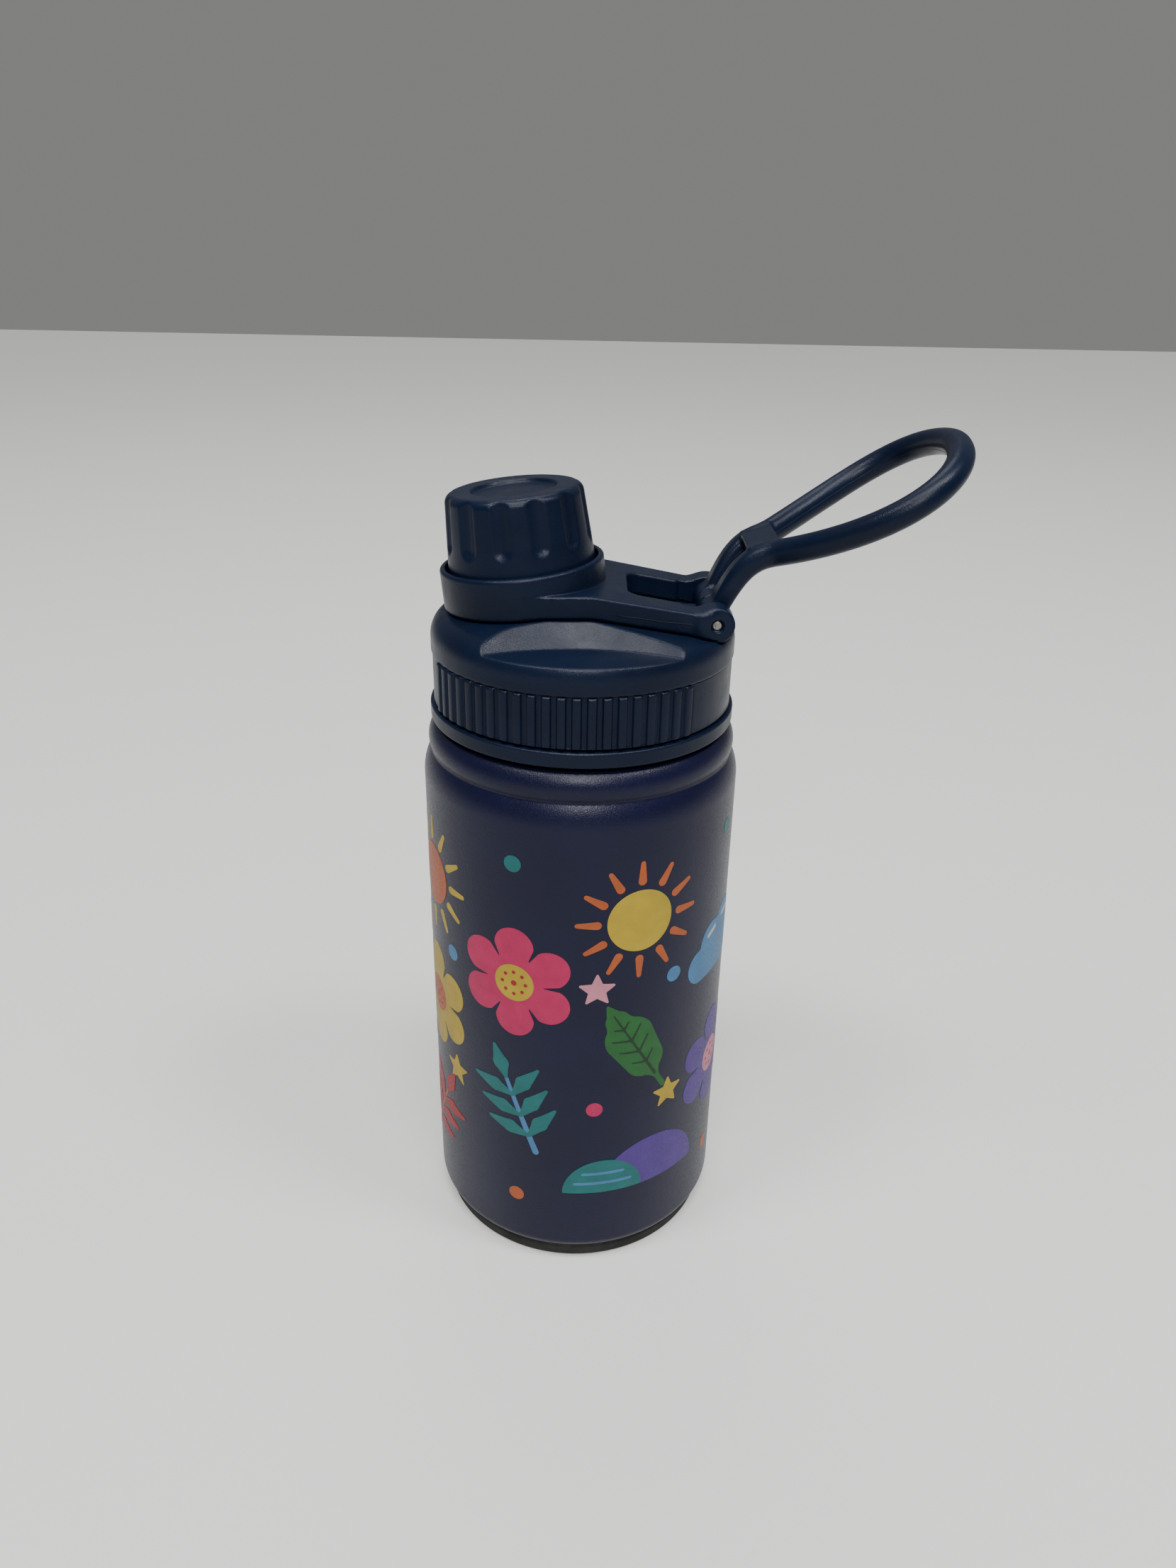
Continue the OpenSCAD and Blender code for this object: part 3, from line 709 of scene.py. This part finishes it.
def dome_field(x, y, z):
    rho = np.hypot(x, y)
    solid = DOME_OUTLINE(rho, z)
    lean_top = (z - (RING_Z + (x + SPOUT_X) * math.tan(LEAN) - TOP_GAP)) * math.cos(LEAN)
    strap_under = z - (STRAP_PEAK - (x - 2) * FALL - STRAP_T - TOP_GAP)
    cap = np.maximum(lean_top, np.maximum(strap_under, z - TOP_Z))
    solid = both(solid, cap, 0.5)
    for side in (-1, 1):
        wall = (np.hypot(x - SCOOP_X, y - side * SCOOP_Y) - SCOOP_R - (z - LEDGE_Z)) * math.sqrt(0.5)
        solid = cut(solid, both(wall, LEDGE_Z - z, 0.15), 0.22)
    about_pin = np.hypot(x - PIN_X, z - PIN_Z)
    pocket = both(about_pin - (EAR_R + 0.35), np.abs(y) - (EAR_OUT + 0.4), 0.3)
    mouth = np.maximum(np.maximum(PIN_X - x, PIN_Z - 2 - z), np.abs(y) - (EAR_OUT + 0.4))
    solid = cut(solid, np.minimum(pocket, mouth), 0.4)
    lug = both(about_pin - LUG_R, np.abs(y) - LUG_HALF, 0.4)
    web = slab((x - (PIN_X - 3.6), y, z - 157.2), (5.6, LUG_HALF, 3.6), 0.4)
    solid = join(solid, np.minimum(lug, web), 0.5)
    solid = cut(solid, about_pin - PIN_R - PIN_GAP, 0.15)
    a, b, _ = on_lean(x, y, z)
    return cut(solid, np.hypot(a, b) - SPOUT_HOLE_R, 0.3)


DOME_FOOT = rounded([(DOME_R - 1, DOME_Z, 0), (DOME_R, DOME_Z, 0.35), (DOME_R, DOME_Z + 2, 0)])[1:-1]
DOME_OUTLINE = outline_field(
    [(0, 170), (0, CAVITY_Z), (CAVITY_R, CAVITY_Z), (CAVITY_R, PLATE_TOP), (SHELL_IN, PLATE_TOP),
     (SHELL_IN, DOME_Z)] + DOME_FOOT + arc(DOME_R - RIM_R, DOME_Z + 3.3, RIM_R, 0, 80, 16))


def dome():
    cell = 0.40
    low_corner = (-34.6, -34.6, DOME_Z - 1.0)
    high_corner = (34.6, 34.6, 166.5)
    return piece("lid_dome", [mesh_field(dome_field, low_corner, high_corner, cell)], "lid",
                 [lid_plastic], ["lid_shell"])


def hinge_pin():
    outline = guarded(rounded([(0, -PIN_HALF, 0), (PIN_R, -PIN_HALF, 0.22), (PIN_R, PIN_HALF, 0.22),
                               (0, PIN_HALF, 0)]))
    points, faces = lathe(outline, 48)
    turned = np.stack([points[:, 0] + PIN_X, points[:, 2], PIN_Z - points[:, 1]], -1)
    return piece("steel_hinge_pin", [(turned, faces)], "lid", [pin_steel()], ["hinge_pin"])


# ---- strap, knob and loop -------------------------------------------------------------
STRAP_SIDE = outline_field(rounded([
    (-SPOUT_X, 162.45, 0), (2, 162.5, 14), (27, 158.36, 0), (27, 163.16, 0), (2, STRAP_PEAK, 16),
    (-SPOUT_X, STRAP_PEAK, 0)]))
RING_OUTLINE = outline_field(rounded([
    (FOOT_BORE, 0, 0.2), (RING_R, 0, 0.5), (RING_R, RING_H, 0.8), (RING_BORE, RING_H, 0.3),
    (RING_BORE, LIP_TOP, 0.2), (LIP_BORE, LIP_TOP, 0.2), (LIP_BORE, LIP_Z, 0.2), (FOOT_BORE, LIP_Z, 0.2)]))


def strap_half(x):
    """Half the strap's width along X: it narrows towards the hinge."""
    return 17.9 + (EAR_OUT - 17.9) * (x + 11.7) / (PIN_X + 11.7)


def strap_field(x, y, z):
    a, b, t = on_lean(x, y, z)
    rho = np.hypot(a, b)
    plate = both(STRAP_SIDE(x, z), np.abs(y) - strap_half(x), 0.55)
    about_pin = np.hypot(x - PIN_X, z - PIN_Z)
    ear = both(about_pin - EAR_R, np.abs(y) - EAR_OUT, 0.5)
    # The fillet stays above the strap's underside, so that it keeps off the lid.
    below = strap_top(x) - STRAP_T - 0.1 - z
    plate = np.maximum(join(plate, ear, 2.2), np.minimum(ear, below))
    plate = np.maximum(plate, 15.6 - rho)
    whole = join(plate, RING_OUTLINE(rho, t), 0.35)
    whole = np.maximum(whole, -np.maximum(rho - RING_BORE, LIP_TOP - t))
    whole = np.maximum(whole, -np.maximum(rho - FOOT_BORE, t - LIP_Z))
    ahead, beside = SLOT_X + SLOT_CORNER - x, np.abs(y) - SLOT_HALF + SLOT_CORNER
    slot = (np.hypot(np.maximum(ahead, 0), np.maximum(beside, 0))
            + np.minimum(np.maximum(ahead, beside), 0) - SLOT_CORNER)
    gap = np.maximum(GAP_X - x, np.abs(y) - EAR_IN)
    whole = cut(whole, join(slot, gap, 1.0), 0.45)
    whole = cut(whole, both(about_pin - 1.4, EAR_OUT - 0.45 - np.abs(y), 0.05), 0.12)
    return cut(whole, about_pin - PIN_R - PIN_GAP, 0.05)


def strap():
    shape = mesh_field(strap_field, (-32.2, -18.6, 156.6), (33.0, 18.6, 173.6), 0.27)
    seams = []
    for side in (-1, 1):
        line = [(x, side * (strap_half(x) + 0.01), z) for x, z in
                ((6.8, 163.5), (11.5, 162.9), (17.5, 162), (23.5, 161.5), (PIN_X - 1.8, 161.2))]
        seams.append(tube(line, 0.08))
    return piece("tether_strap_and_ring", [shape] + seams, "strap", [lid_plastic],
                 ["tether_strap"])


TAPER = (KNOB_R - KNOB_TOP_R) / (KNOB_H - 1.5 - RING_H)
KNOB_OUTLINE = outline_field(rounded([
    (0, KNOB_H, 0), (0, KNOB_H - KNOB_ROOF, 0), (KNOB_BORE, KNOB_H - KNOB_ROOF, 0.3),
    (KNOB_BORE, KNOB_FOOT, 0.25),
    (KNOB_R + TAPER * (RING_H - KNOB_FOOT), KNOB_FOOT, 0.5),
    (KNOB_R - TAPER * (KNOB_H - RING_H), KNOB_H, 1.9)]))


def knob_field(x, y, z):
    a, b, t = on_lean(x, y, z)
    rho = np.hypot(a, b)
    solid = KNOB_OUTLINE(rho, t)
    above = t - KNOB_H + DISH_D
    dish = both((rho - DISH_R - 0.55 * above) * 0.88, -above, 0.35)
    solid = cut(solid, dish, 0.32)
    pitch = 2 * math.pi / FLUTES
    off = (np.arctan2(b, a) - FLUTE_PHASE + pitch / 2) % pitch - pitch / 2
    out = rho * np.cos(off) - (KNOB_R - TAPER * (FLUTE_Z - RING_H) + FLUTE_R - FLUTE_D)
    up = t - FLUTE_Z
    lean_in = math.atan(TAPER)
    along = np.maximum(0, up * math.cos(lean_in) - out * math.sin(lean_in))
    flute = np.sqrt((out + along * math.sin(lean_in)) ** 2 + (rho * np.sin(off)) ** 2
                    + (up - along * math.cos(lean_in)) ** 2) - FLUTE_R
    return cut(solid, flute, 0.4)


def knob():
    shape = mesh_field(knob_field, (-32.0, -17.2, 162.6), (5.6, 17.2, 189.2), 0.28)
    return piece("twist_knob", [shape], "knob", [lid_plastic], ["knob_shell"])


def bezier(points, t):
    t = np.asarray(t)[:, None]
    a, b, c, d = np.array(points, float)
    return a * (1 - t) ** 3 + 3 * b * t * (1 - t) ** 2 + 3 * c * t * t * (1 - t) + d * t ** 3


def loop_line(step=0.9, reach=4):
    """Half of the loop's centre line, with its directions ahead and sideways at each point.

    The last list says how near a point is to the hinge: 1 at the pin, 0 from the bridge on.
    """
    t = np.linspace(0, 1, 40)
    leg = bezier([(PIN_X, PIN_Z), (31.6, 168.4), (33.8, 174.2), BEND], t)
    leg = np.stack([leg[:, 0], LEG_Y + (ROOT_Y - LEG_Y) * t, leg[:, 1]], -1)
    flat = bezier([(0, ROOT_Y), (0.872 * LOOP_LEN, 38), (LOOP_LEN, 8.2), (LOOP_LEN, 0)],
                  np.linspace(0, 1, 90))
    s, lift = flat[:, 0], CURL * flat[:, 0] ** 2
    drop = np.stack([BEND[0] + s * math.cos(CLIMB) - lift * math.sin(CLIMB), flat[:, 1],
                     BEND[1] + s * math.sin(CLIMB) + lift * math.cos(CLIMB)], -1)
    line = np.concatenate([leg[:-1], drop])
    legs = np.gradient(leg, axis=0)[:-1]
    slope = np.concatenate([np.arctan2(legs[:, 2], legs[:, 0]), CLIMB + 2 * CURL * s])
    root = np.concatenate([1 - t[:-1], 0 * s])

    length = np.concatenate([[0], np.cumsum(np.linalg.norm(np.diff(line, axis=0), axis=1))])
    even = np.linspace(0, length[-1], round(length[-1] / step))
    rows = np.stack([np.interp(even, length, c) for c in (*line.T, slope, root)], -1)
    mirrored = rows[-2 - reach:-1][::-1] * (1, -1, 1, 1, 1)
    start = 2 * rows[0] - rows[1:reach + 1][::-1]
    weights = np.hanning(2 * reach + 3)[1:-1]
    padded = np.concatenate([start, rows, mirrored[:reach]])
    soft = np.stack([np.convolve(c, weights / weights.sum(), "valid") for c in padded.T], -1)
    line, slope, root = soft[:, :3], soft[:, 3], np.clip(soft[:, 4], 0, 1)
    ahead = np.gradient(line, axis=0)
    ahead[-1] = (0, -1, 0)
    ahead /= np.linalg.norm(ahead, axis=1)[:, None]
    up = np.stack([-np.sin(slope), 0 * slope, np.cos(slope)], -1)
    side = np.cross(ahead, up)
    side /= np.linalg.norm(side, axis=1)[:, None]
    return line, ahead, side, root


LOOP_LINE = loop_line()


def loop_field(x, y, z):
    line, ahead, side, root = LOOP_LINE
    p = np.stack([x, np.abs(y), z], -1)
    shape = p.shape[:-1]
    p = p.reshape(-1, 3)
    nearest = np.full(len(p), 1e9)
    best = np.zeros(len(p))
    for i in range(len(line) - 1):
        e = line[i + 1] - line[i]
        t = np.clip((p - line[i]) @ e / (e @ e), 0, 1)
        d = ((p - line[i] - t[:, None] * e) ** 2).sum(1)
        closer = d < nearest
        nearest[closer] = d[closer]
        best[closer] = i + t[closer]
    i = np.minimum(best.astype(int), len(line) - 2)
    t = (best - i)[:, None]

    def mix(rows):
        return rows[i] * (1 - t) + rows[i + 1] * t
    centre, forward, across = mix(line), mix(ahead), mix(side)
    near = mix(root[:, None])[:, 0]
    forward /= np.linalg.norm(forward, axis=1)[:, None]
    across /= np.linalg.norm(across, axis=1)[:, None]
    v_axis = np.cross(across, forward)
    off = p - centre
    u = (off * across).sum(1)
    v = (off * v_axis).sum(1)
    w = (off * forward).sum(1)
    half_u = LOOP_BAR * (0.97 + 0.17 * near)
    half_v = LOOP_BAR * (1 - 0.32 * near)
    r = half_v * (1 - 0.45 * near) - 0.12
    over_u, over_v = np.abs(u) - half_u + r, np.abs(v) - half_v + r
    bar = (np.sqrt(np.maximum(over_u, 0) ** 2 + np.maximum(over_v, 0) ** 2 + w * w * (best <= 0))
           + np.minimum(np.maximum(over_u, over_v), 0) - r)
    bar = bar.reshape(shape)
    about_pin = np.hypot(x - PIN_X, z - PIN_Z)
    knuckle = both(about_pin - LUG_R, np.abs(np.abs(y) - LEG_Y) - KNUCKLE_HALF, 0.6)
    tilt = math.radians(18.7)
    dx, dz = x - BEND[0] + 1.6, z - BEND[1] + 0.1
    along = dx * math.cos(tilt) + dz * math.sin(tilt)
    above = dz * math.cos(tilt) - dx * math.sin(tilt)
    bridge = slab((along, y, above), (3.5, ROOT_Y, 2.1), 0.5)
    whole = join(join(bar, knuckle, 0.8), bridge, 0.7)
    return cut(whole, about_pin - PIN_R - PIN_GAP, 0.2)


def carry_loop():
    shape = mesh_field(loop_field, (24.0, -24.4, 157.0), (81.0, 24.4, 200.8), 0.30)
    line, _, side, root = LOOP_LINE
    seam = (line + side * (LOOP_BAR * (0.97 + 0.17 * root) - 0.03)[:, None])[5:]
    mirrored = seam[-2::-1] * (1, -1, 1)
    return piece("teardrop_carry_loop", [shape, tube(np.concatenate([seam, mirrored]), 0.09)], "loop",
                 [lid_plastic], ["carry_loop"])


# ---- printed pattern: everyday leaves, flowers, clouds and stars in bright ink --------
INKS = {
    "pink": (210, 40, 100), "rose": (230, 150, 170), "red": (180, 30, 40),
    "orange": (200, 100, 50), "sand": (200, 160, 90), "yellow": (210, 180, 50),
    "green": (40, 110, 50), "moss": (20, 60, 30), "teal": (30, 120, 120),
    "sky": (80, 140, 190), "violet": (90, 60, 150), "ivory": (220, 220, 210),
}
INK_RISE = 0.05
INK_STEP = 0.025
COLUMNS = 8
FIRST_ROW_Z = 15
ROW = 17
inks = {}


def ink(name):
    """The ink of this name, made when it is first used."""
    if name not in inks:
        inks[name] = print_ink(name, srgb(*INKS[name]))
    return inks[name]


def stroke(points):
    """Field of a line through (x, y, radius) points, its width changing from one to the next."""
    def field(x, y):
        nearest = np.full(x.shape, 1e9)
        for (ax, ay, ar), (bx, by, br) in zip(points, points[1:] or points):
            ex, ey = bx - ax, by - ay
            t = np.clip(((x - ax) * ex + (y - ay) * ey) / max(ex * ex + ey * ey, 1e-9), 0, 1)
            away = np.hypot(x - ax - t * ex, y - ay - t * ey) - ar - t * (br - ar)
            nearest = np.minimum(nearest, away)
        return nearest
    return field


def wall_radius(z):
    """Radius of the printed wall, down into the rounding of the foot."""
    drop = np.maximum(BASE_Z + FOOT_R - z, 0)
    return BODY_R - FOOT_R + np.sqrt(FOOT_R ** 2 - drop ** 2)


def ink_slab(field, half, centre, proud, cell=0.36):
    """Thin closed slab over a plane field's inside, wrapped round the bottle's wall."""
    count = [math.ceil(2 * h / cell) + 4 for h in half]
    x, y = np.meshgrid(*[(np.arange(n) - (n - 1) / 2) * cell for n in count], indexing="ij")
    value = field(x, y)
    value = np.where(np.abs(value) < 0.01, -0.01, value)
    inside = value < 0
    flat, number = [], {}

    def point(i, j, edge):
        """Index of a grid point (edge None) or of the crossing on the grid edge going i- or j-wards."""
        key = (i, j, edge)
        if key not in number:
            number[key] = len(flat)
            i2, j2 = (i + 1, j) if edge == "i" else (i, j + 1) if edge == "j" else (i, j)
            t = 0 if edge is None else value[i, j] / (value[i, j] - value[i2, j2])
            flat.append((x[i, j] + t * (x[i2, j2] - x[i, j]), y[i, j] + t * (y[i2, j2] - y[i, j])))
        return number[key]

    total = inside[:-1, :-1].astype(int) + inside[1:, :-1] + inside[1:, 1:] + inside[:-1, 1:]
    tops, rims = [], []
    for i, j in np.argwhere(total > 0).tolist():
        corners = [(i, j), (i + 1, j), (i + 1, j + 1), (i, j + 1)]
        edges = [(i, j, "i"), (i + 1, j, "j"), (i, j + 1, "i"), (i, j, "j")]
        ring, crossings = [], []
        for k in range(4):
            if inside[corners[k]]:
                ring.append(point(*corners[k], None))
            if inside[corners[k]] != inside[corners[(k + 1) % 4]]:
                ring.append(point(*edges[k]))
                crossings.append((ring[-1], bool(inside[corners[k]])))
        tops.append(ring)
        for k, (a, leaving) in enumerate(crossings):
            if leaving:
                rims.append((a, crossings[(k + 1) % len(crossings)][0]))
    flat = np.array(flat)
    under = len(flat)
    z = flat[:, 1] + centre[1]
    angle = (flat[:, 0] + centre[0]) / BODY_R
    outline = np.stack([np.sin(angle), -np.cos(angle)], -1)
    points = np.concatenate([np.column_stack([outline * (wall_radius(z) + rise)[:, None], z])
                             for rise in (proud, -0.03)])
    faces = tops + [[k + under for k in ring[::-1]] for ring in tops]
    faces += [[b, a, a + under, b + under] for a, b in rims]
    return points, faces


def motif(name, centre, layers, turn=0, size=1, lowest=None):
    """One printed picture: layers of ink (name, blend, strokes), each prouder than the one under it.

    centre is (distance round the wall from the front, height) in millimetres and turn is in
    degrees. lowest, in the picture's own units, is where its foot is cut off level.
    """
    c, s = math.cos(math.radians(turn)), math.sin(math.radians(turn))
    shapes, paints = [], []
    for level, (paint, blend, strokes) in enumerate(layers):
        placed = [[(size * (x * c - y * s), size * (x * s + y * c), size * r) for x, y, r in line]
                  for line in strokes]
        parts = [stroke(line) for line in placed]

        def field(x, y):
            value = parts[0](x, y)
            for part in parts[1:]:
                value = join(value, part(x, y), blend)
            if lowest is not None:
                value = both(value, size * lowest - y, 0.2)
            return value

        half = [max(abs(p[n]) + p[2] for line in placed for p in line) + 0.5 for n in (0, 1)]
        shapes.append(ink_slab(field, half, centre, INK_RISE + INK_STEP * level))
        paints.append(ink(paint))
    return piece("print_" + name, shapes, "bottle", paints, sharp=40)


def dots(*spots):
    """Strokes of one round spot each."""
    return [[spot] for spot in spots]


def rays(count, first, last, turn=90):
    """Lines from the middle outwards, each from (distance, radius) first to last."""
    angles = [math.radians(turn + 360 * k / count) for k in range(count)]
    return [[(d * math.cos(a), d * math.sin(a), r) for d, r in (first, last)] for a in angles]


def leaf(blade, vein):
    """One broad pointed leaf on a short stalk."""
    ribs = [[(0, y, 0.3), (side * reach, y + 0.7 * reach, 0.2)]
            for y, reach in ((-6, 3), (-2, 4), (2, 4), (6, 2)) for side in (-1, 1)]
    return [
        (blade, 0.5, [[(0, -12, 0.5), (0, -5, 5), (0, 3, 6), (0, 9, 3), (0, 14, 0.4)],
                      [(0, -16, 0.7), (0, -10, 0.7)]]),
        (vein, 0.1, [[(0, -11, 0.4), (0, 11, 0.2)]] + ribs),
    ]


def sprig(stem, blade):
    """A stem with pairs of small leaves and one at its tip."""
    pairs = [[(0, y, 0.4), (side * 4, y + 3, 2), (side * 9, y + 6, 0.4)]
             for y in (-10, -4, 2) for side in (-1, 1)]
    return [
        (stem, 0.3, [[(0, -15, 0.8), (0, 8, 0.5)]]),
        (blade, 0.2, pairs + [[(0, 7, 0.5), (0, 11, 2.2), (0, 16, 0.4)]]),
    ]


def flower(petal, heart, seeds):
    """Six round petals about a heart with a ring of seeds."""
    return [
        (petal, 0.3, rays(6, (3, 2), (8, 4))),
        (heart, 0.3, dots((0, 0, 4))),
        (seeds, 0.05, rays(8, (2.4, 0.4), (2.4, 0.4)) + dots((0, 0, 0.6))),
    ]


def cloud(puff, pale):
    """Round puffs on a flat base."""
    return [
        (puff, 0.6, dots((-9, -2, 4), (-4, 2, 5), (3, 3, 6), (10, -1, 4.5))
         + [[(-9, -3, 3), (10, -3, 3)]]),
        (pale, 0.2, [[(-6, 4, 0.5), (-3, 5, 0.5)], [(1, 6, 0.5), (5, 6, 0.5)]]),
    ]


def sun(disc, beams):
    """A plain disc with twelve beams."""
    return [
        (beams, 0.1, rays(12, (9, 0.9), (13, 0.5))),
        (disc, 0.1, dots((0, 0, 7))),
    ]


def hills(near, far, stripe):
    """A low striped hill in front of a higher one, on a level foot."""
    stripes = [[(-7 - w, y, 0.4), (-7 + w, y, 0.4)] for y, w in ((-6, 7), (-3, 5))]
    return [
        (far, 0.2, dots((6, -9, 14))),
        (near, 0.2, dots((-7, -9, 10))),
        (stripe, 0.1, stripes),
    ]


def scatter(name, paint, strokes, centres):
    """Small marks in one ink, the same at each centre."""
    parts = [stroke(line) for line in strokes]
    half = [max(abs(p[n]) + p[2] for line in strokes for p in line) + 0.5 for n in (0, 1)]

    def field(x, y):
        return np.minimum.reduce([part(x, y) for part in parts])

    shapes = [ink_slab(field, half, centre, INK_RISE, 0.25) for centre in centres]
    return piece("print_" + name, shapes, "bottle", [ink(paint)], sharp=40)


def spot(column, row):
    """Place in the print's grid: columns round the wall, rows half a picture apart."""
    return (column + 0.5) * 2 * math.pi * BODY_R / COLUMNS, FIRST_ROW_Z + ROW * row


def pattern():
    """Pictures all round in columns of three and two, with small stars and dots between them."""
    pictures = (
        ("sun_yellow", 0, 5, sun("yellow", "orange"), 0, 1.1),
        ("leaf_green", 0, 3, leaf("green", "moss"), 30, 1),
        ("hills_teal", 0, 1, hills("teal", "violet", "sky"), 0, 1),
        ("cloud_sky", 1, 4, cloud("sky", "ivory"), 0, 1.1),
        ("flower_violet", 1, 2, flower("violet", "rose", "pink"), 0, 1.2),
        ("flower_orange", 2, 5, flower("orange", "yellow", "red"), 0, 1.2),
        ("cloud_rose", 2, 3, cloud("rose", "ivory"), 0, 1.1),
        ("leaf_teal", 2, 1, leaf("teal", "sky"), 30, 1),
        ("sprig_sand", 3, 4, sprig("green", "sand"), -20, 1),
        ("sun_red", 3, 2, sun("red", "yellow"), 0, 1.1),
        ("leaf_sand", 4, 5, leaf("sand", "orange"), -30, 1),
        ("flower_sky", 4, 3, flower("sky", "ivory", "violet"), 0, 1.2),
        ("hills_green", 4, 1, hills("green", "sand", "moss"), 0, 1),
        ("cloud_violet", 5, 4, cloud("violet", "ivory"), 0, 1.1),
        ("sprig_rose", 5, 2, sprig("green", "rose"), 20, 1),
        ("sun_orange", 6, 5, sun("orange", "yellow"), 0, 1.1),
        ("flower_yellow", 6, 3, flower("yellow", "orange", "red"), 0, 1.2),
        ("sprig_red", 6, 1, sprig("orange", "red"), -30, 1),
        ("flower_pink", 7, 4, flower("pink", "yellow", "red"), 0, 1.2),
        ("sprig_teal", 7, 2, sprig("sky", "teal"), 20, 1),
    )
    for name, column, row, layers, turn, size in pictures:
        lowest = -9 if name.startswith("hills") else None
        motif(name, spot(column, row), layers, turn, size, lowest)
    star, dot = rays(5, (0, 2), (4, 0.3)), dots((0, 0, 2))
    evens, odds, third = (0, 2, 4, 6), (1, 3, 5, 7), 1 / 3
    scatter("stars_yellow", "yellow", star, [spot(c + third, 2) for c in evens])
    scatter("stars_rose", "rose", star, [spot(c - third, 4) for c in evens])
    scatter("dots_sky", "sky", dot, [spot(c + third, 4) for c in evens])
    scatter("dots_pink", "pink", dot, [spot(c - third, 2) for c in evens])
    scatter("dots_orange", "orange", dot, [spot(c, 0.3) for c in odds])
    scatter("dots_teal", "teal", dot, [spot(c, 5.8) for c in odds])


bottle_body()
pattern()
base_pad()
liner()
grip_band()
dome()
hinge_pin()
strap()
knob()
carry_loop()


# ---- CAD pieces that keep their shape and get a material -----------------------------
def dress(material, *nodes):
    for node in nodes:
        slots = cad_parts[node].data.materials
        slots.clear()
        slots.append(material)


dress(steel, "inner_vessel", "base_cap")
dress(copper_foil(), "foil_shield")
dress(sintered("getter_metal", 0.25, 0.4), "getter")
dress(sintered("solder", 0.45, 0.9), "vacuum_seal")
dress(soft_white("adhesive_film", (0.72, 0.70, 0.63, 1), 2.5, 0.02, 0.5), "pad_adhesive")
dress(silicone, "lid_gasket", "spout_gasket", "knob_gasket")
dress(soft_white("insulating_foam", (0.85, 0.85, 0.82, 1), 0.7, 0.2, 0.85), "lid_foam")
dress(soft_white("core_plastic", (0.70, 0.71, 0.70, 1), 1.2, 0.01, 0.4), "knob_core")
dress(lid_plastic, "spout")


# ---- camera, floor and light ------------------------------------------------------------
def camera():
    pitch, roll = math.radians(25.452), math.radians(1.0963)
    forward = Vector((0, math.cos(pitch), -math.sin(pitch)))
    right = Vector((1, 0, 0))
    up = right.cross(forward)
    image_right = right * math.cos(roll) + up * math.sin(roll)
    image_up = up * math.cos(roll) - right * math.sin(roll)
    data = bpy.data.cameras.new("camera")
    data.sensor_width = 36
    data.lens = 26.04
    data.clip_start = 0.01
    obj = bpy.data.objects.new("camera", data)
    turn = Matrix((image_right, image_up, -forward)).transposed().to_4x4()
    obj.matrix_world = Matrix.Translation(Vector((1.824, -244.232, 232.923)) * MM) @ turn
    bpy.context.scene.collection.objects.link(obj)
    bpy.context.scene.camera = obj


def floor():
    half = 3.0
    mesh = bpy.data.meshes.new("floor")
    corners = [(-half, -half, 0), (half, -half, 0), (half, half, 0), (-half, half, 0)]
    mesh.from_pydata(corners, [], [(0, 1, 2, 3)])
    s = Surface("floor", Specular_IOR_Level=0.25)
    mesh.materials.append(s.done((0.50, 0.50, 0.49, 1), 0.75))
    obj = bpy.data.objects.new("floor", mesh)
    bpy.context.scene.collection.objects.link(obj)


def area_light(name, position, size, power, aim=(0, 0, 0.12)):
    data = bpy.data.lights.new(name, "AREA")
    data.shape = "DISK"
    data.size = size
    data.energy = power
    obj = bpy.data.objects.new(name, data)
    obj.location = position
    obj.rotation_euler = (Vector(aim) - Vector(position)).to_track_quat("-Z", "Y").to_euler()
    bpy.context.scene.collection.objects.link(obj)


def lights():
    area_light("ceiling_left", (-0.50, -0.32, 1.35), 0.32, 10)
    area_light("ceiling_right", (0.62, -0.28, 1.30), 0.32, 11)
    area_light("front", (0.02, -1.15, 1.05), 0.30, 16)
    area_light("back_fill", (-0.1, 0.75, 1.5), 0.7, 7)
    sky = bpy.data.lights.new("sky", "SUN")
    sky.energy = 3.0
    sky.angle = math.radians(24)
    obj = bpy.data.objects.new("sky", sky)
    obj.rotation_euler = Vector((-0.02, 0.34, -0.94)).to_track_quat("-Z", "Y").to_euler()
    bpy.context.scene.collection.objects.link(obj)


def studio():
    """Surroundings: a pale grey side behind the bottle, a darker room in front of it."""
    world = bpy.data.worlds.new("studio")
    world.use_nodes = True
    nodes, links = world.node_tree.nodes, world.node_tree.links
    place = nodes.new("ShaderNodeTexCoord")
    split = nodes.new("ShaderNodeSeparateXYZ")
    spread = nodes.new("ShaderNodeMapRange")
    spread.inputs["From Min"].default_value = -1
    ramp = nodes.new("ShaderNodeValToRGB")
    ramp.color_ramp.interpolation = "EASE"
    front, back = ramp.color_ramp.elements
    front.position, front.color = 0.30, (0.09, 0.09, 0.095, 1)
    back.position, back.color = 0.85, (0.22, 0.22, 0.215, 1)
    links.new(place.outputs["Generated"], split.inputs["Vector"])
    links.new(split.outputs["Y"], spread.inputs["Value"])
    links.new(spread.outputs["Result"], ramp.inputs["Fac"])
    links.new(ramp.outputs["Color"], nodes["Background"].inputs["Color"])
    bpy.context.scene.world = world


camera()
floor()
lights()
studio()
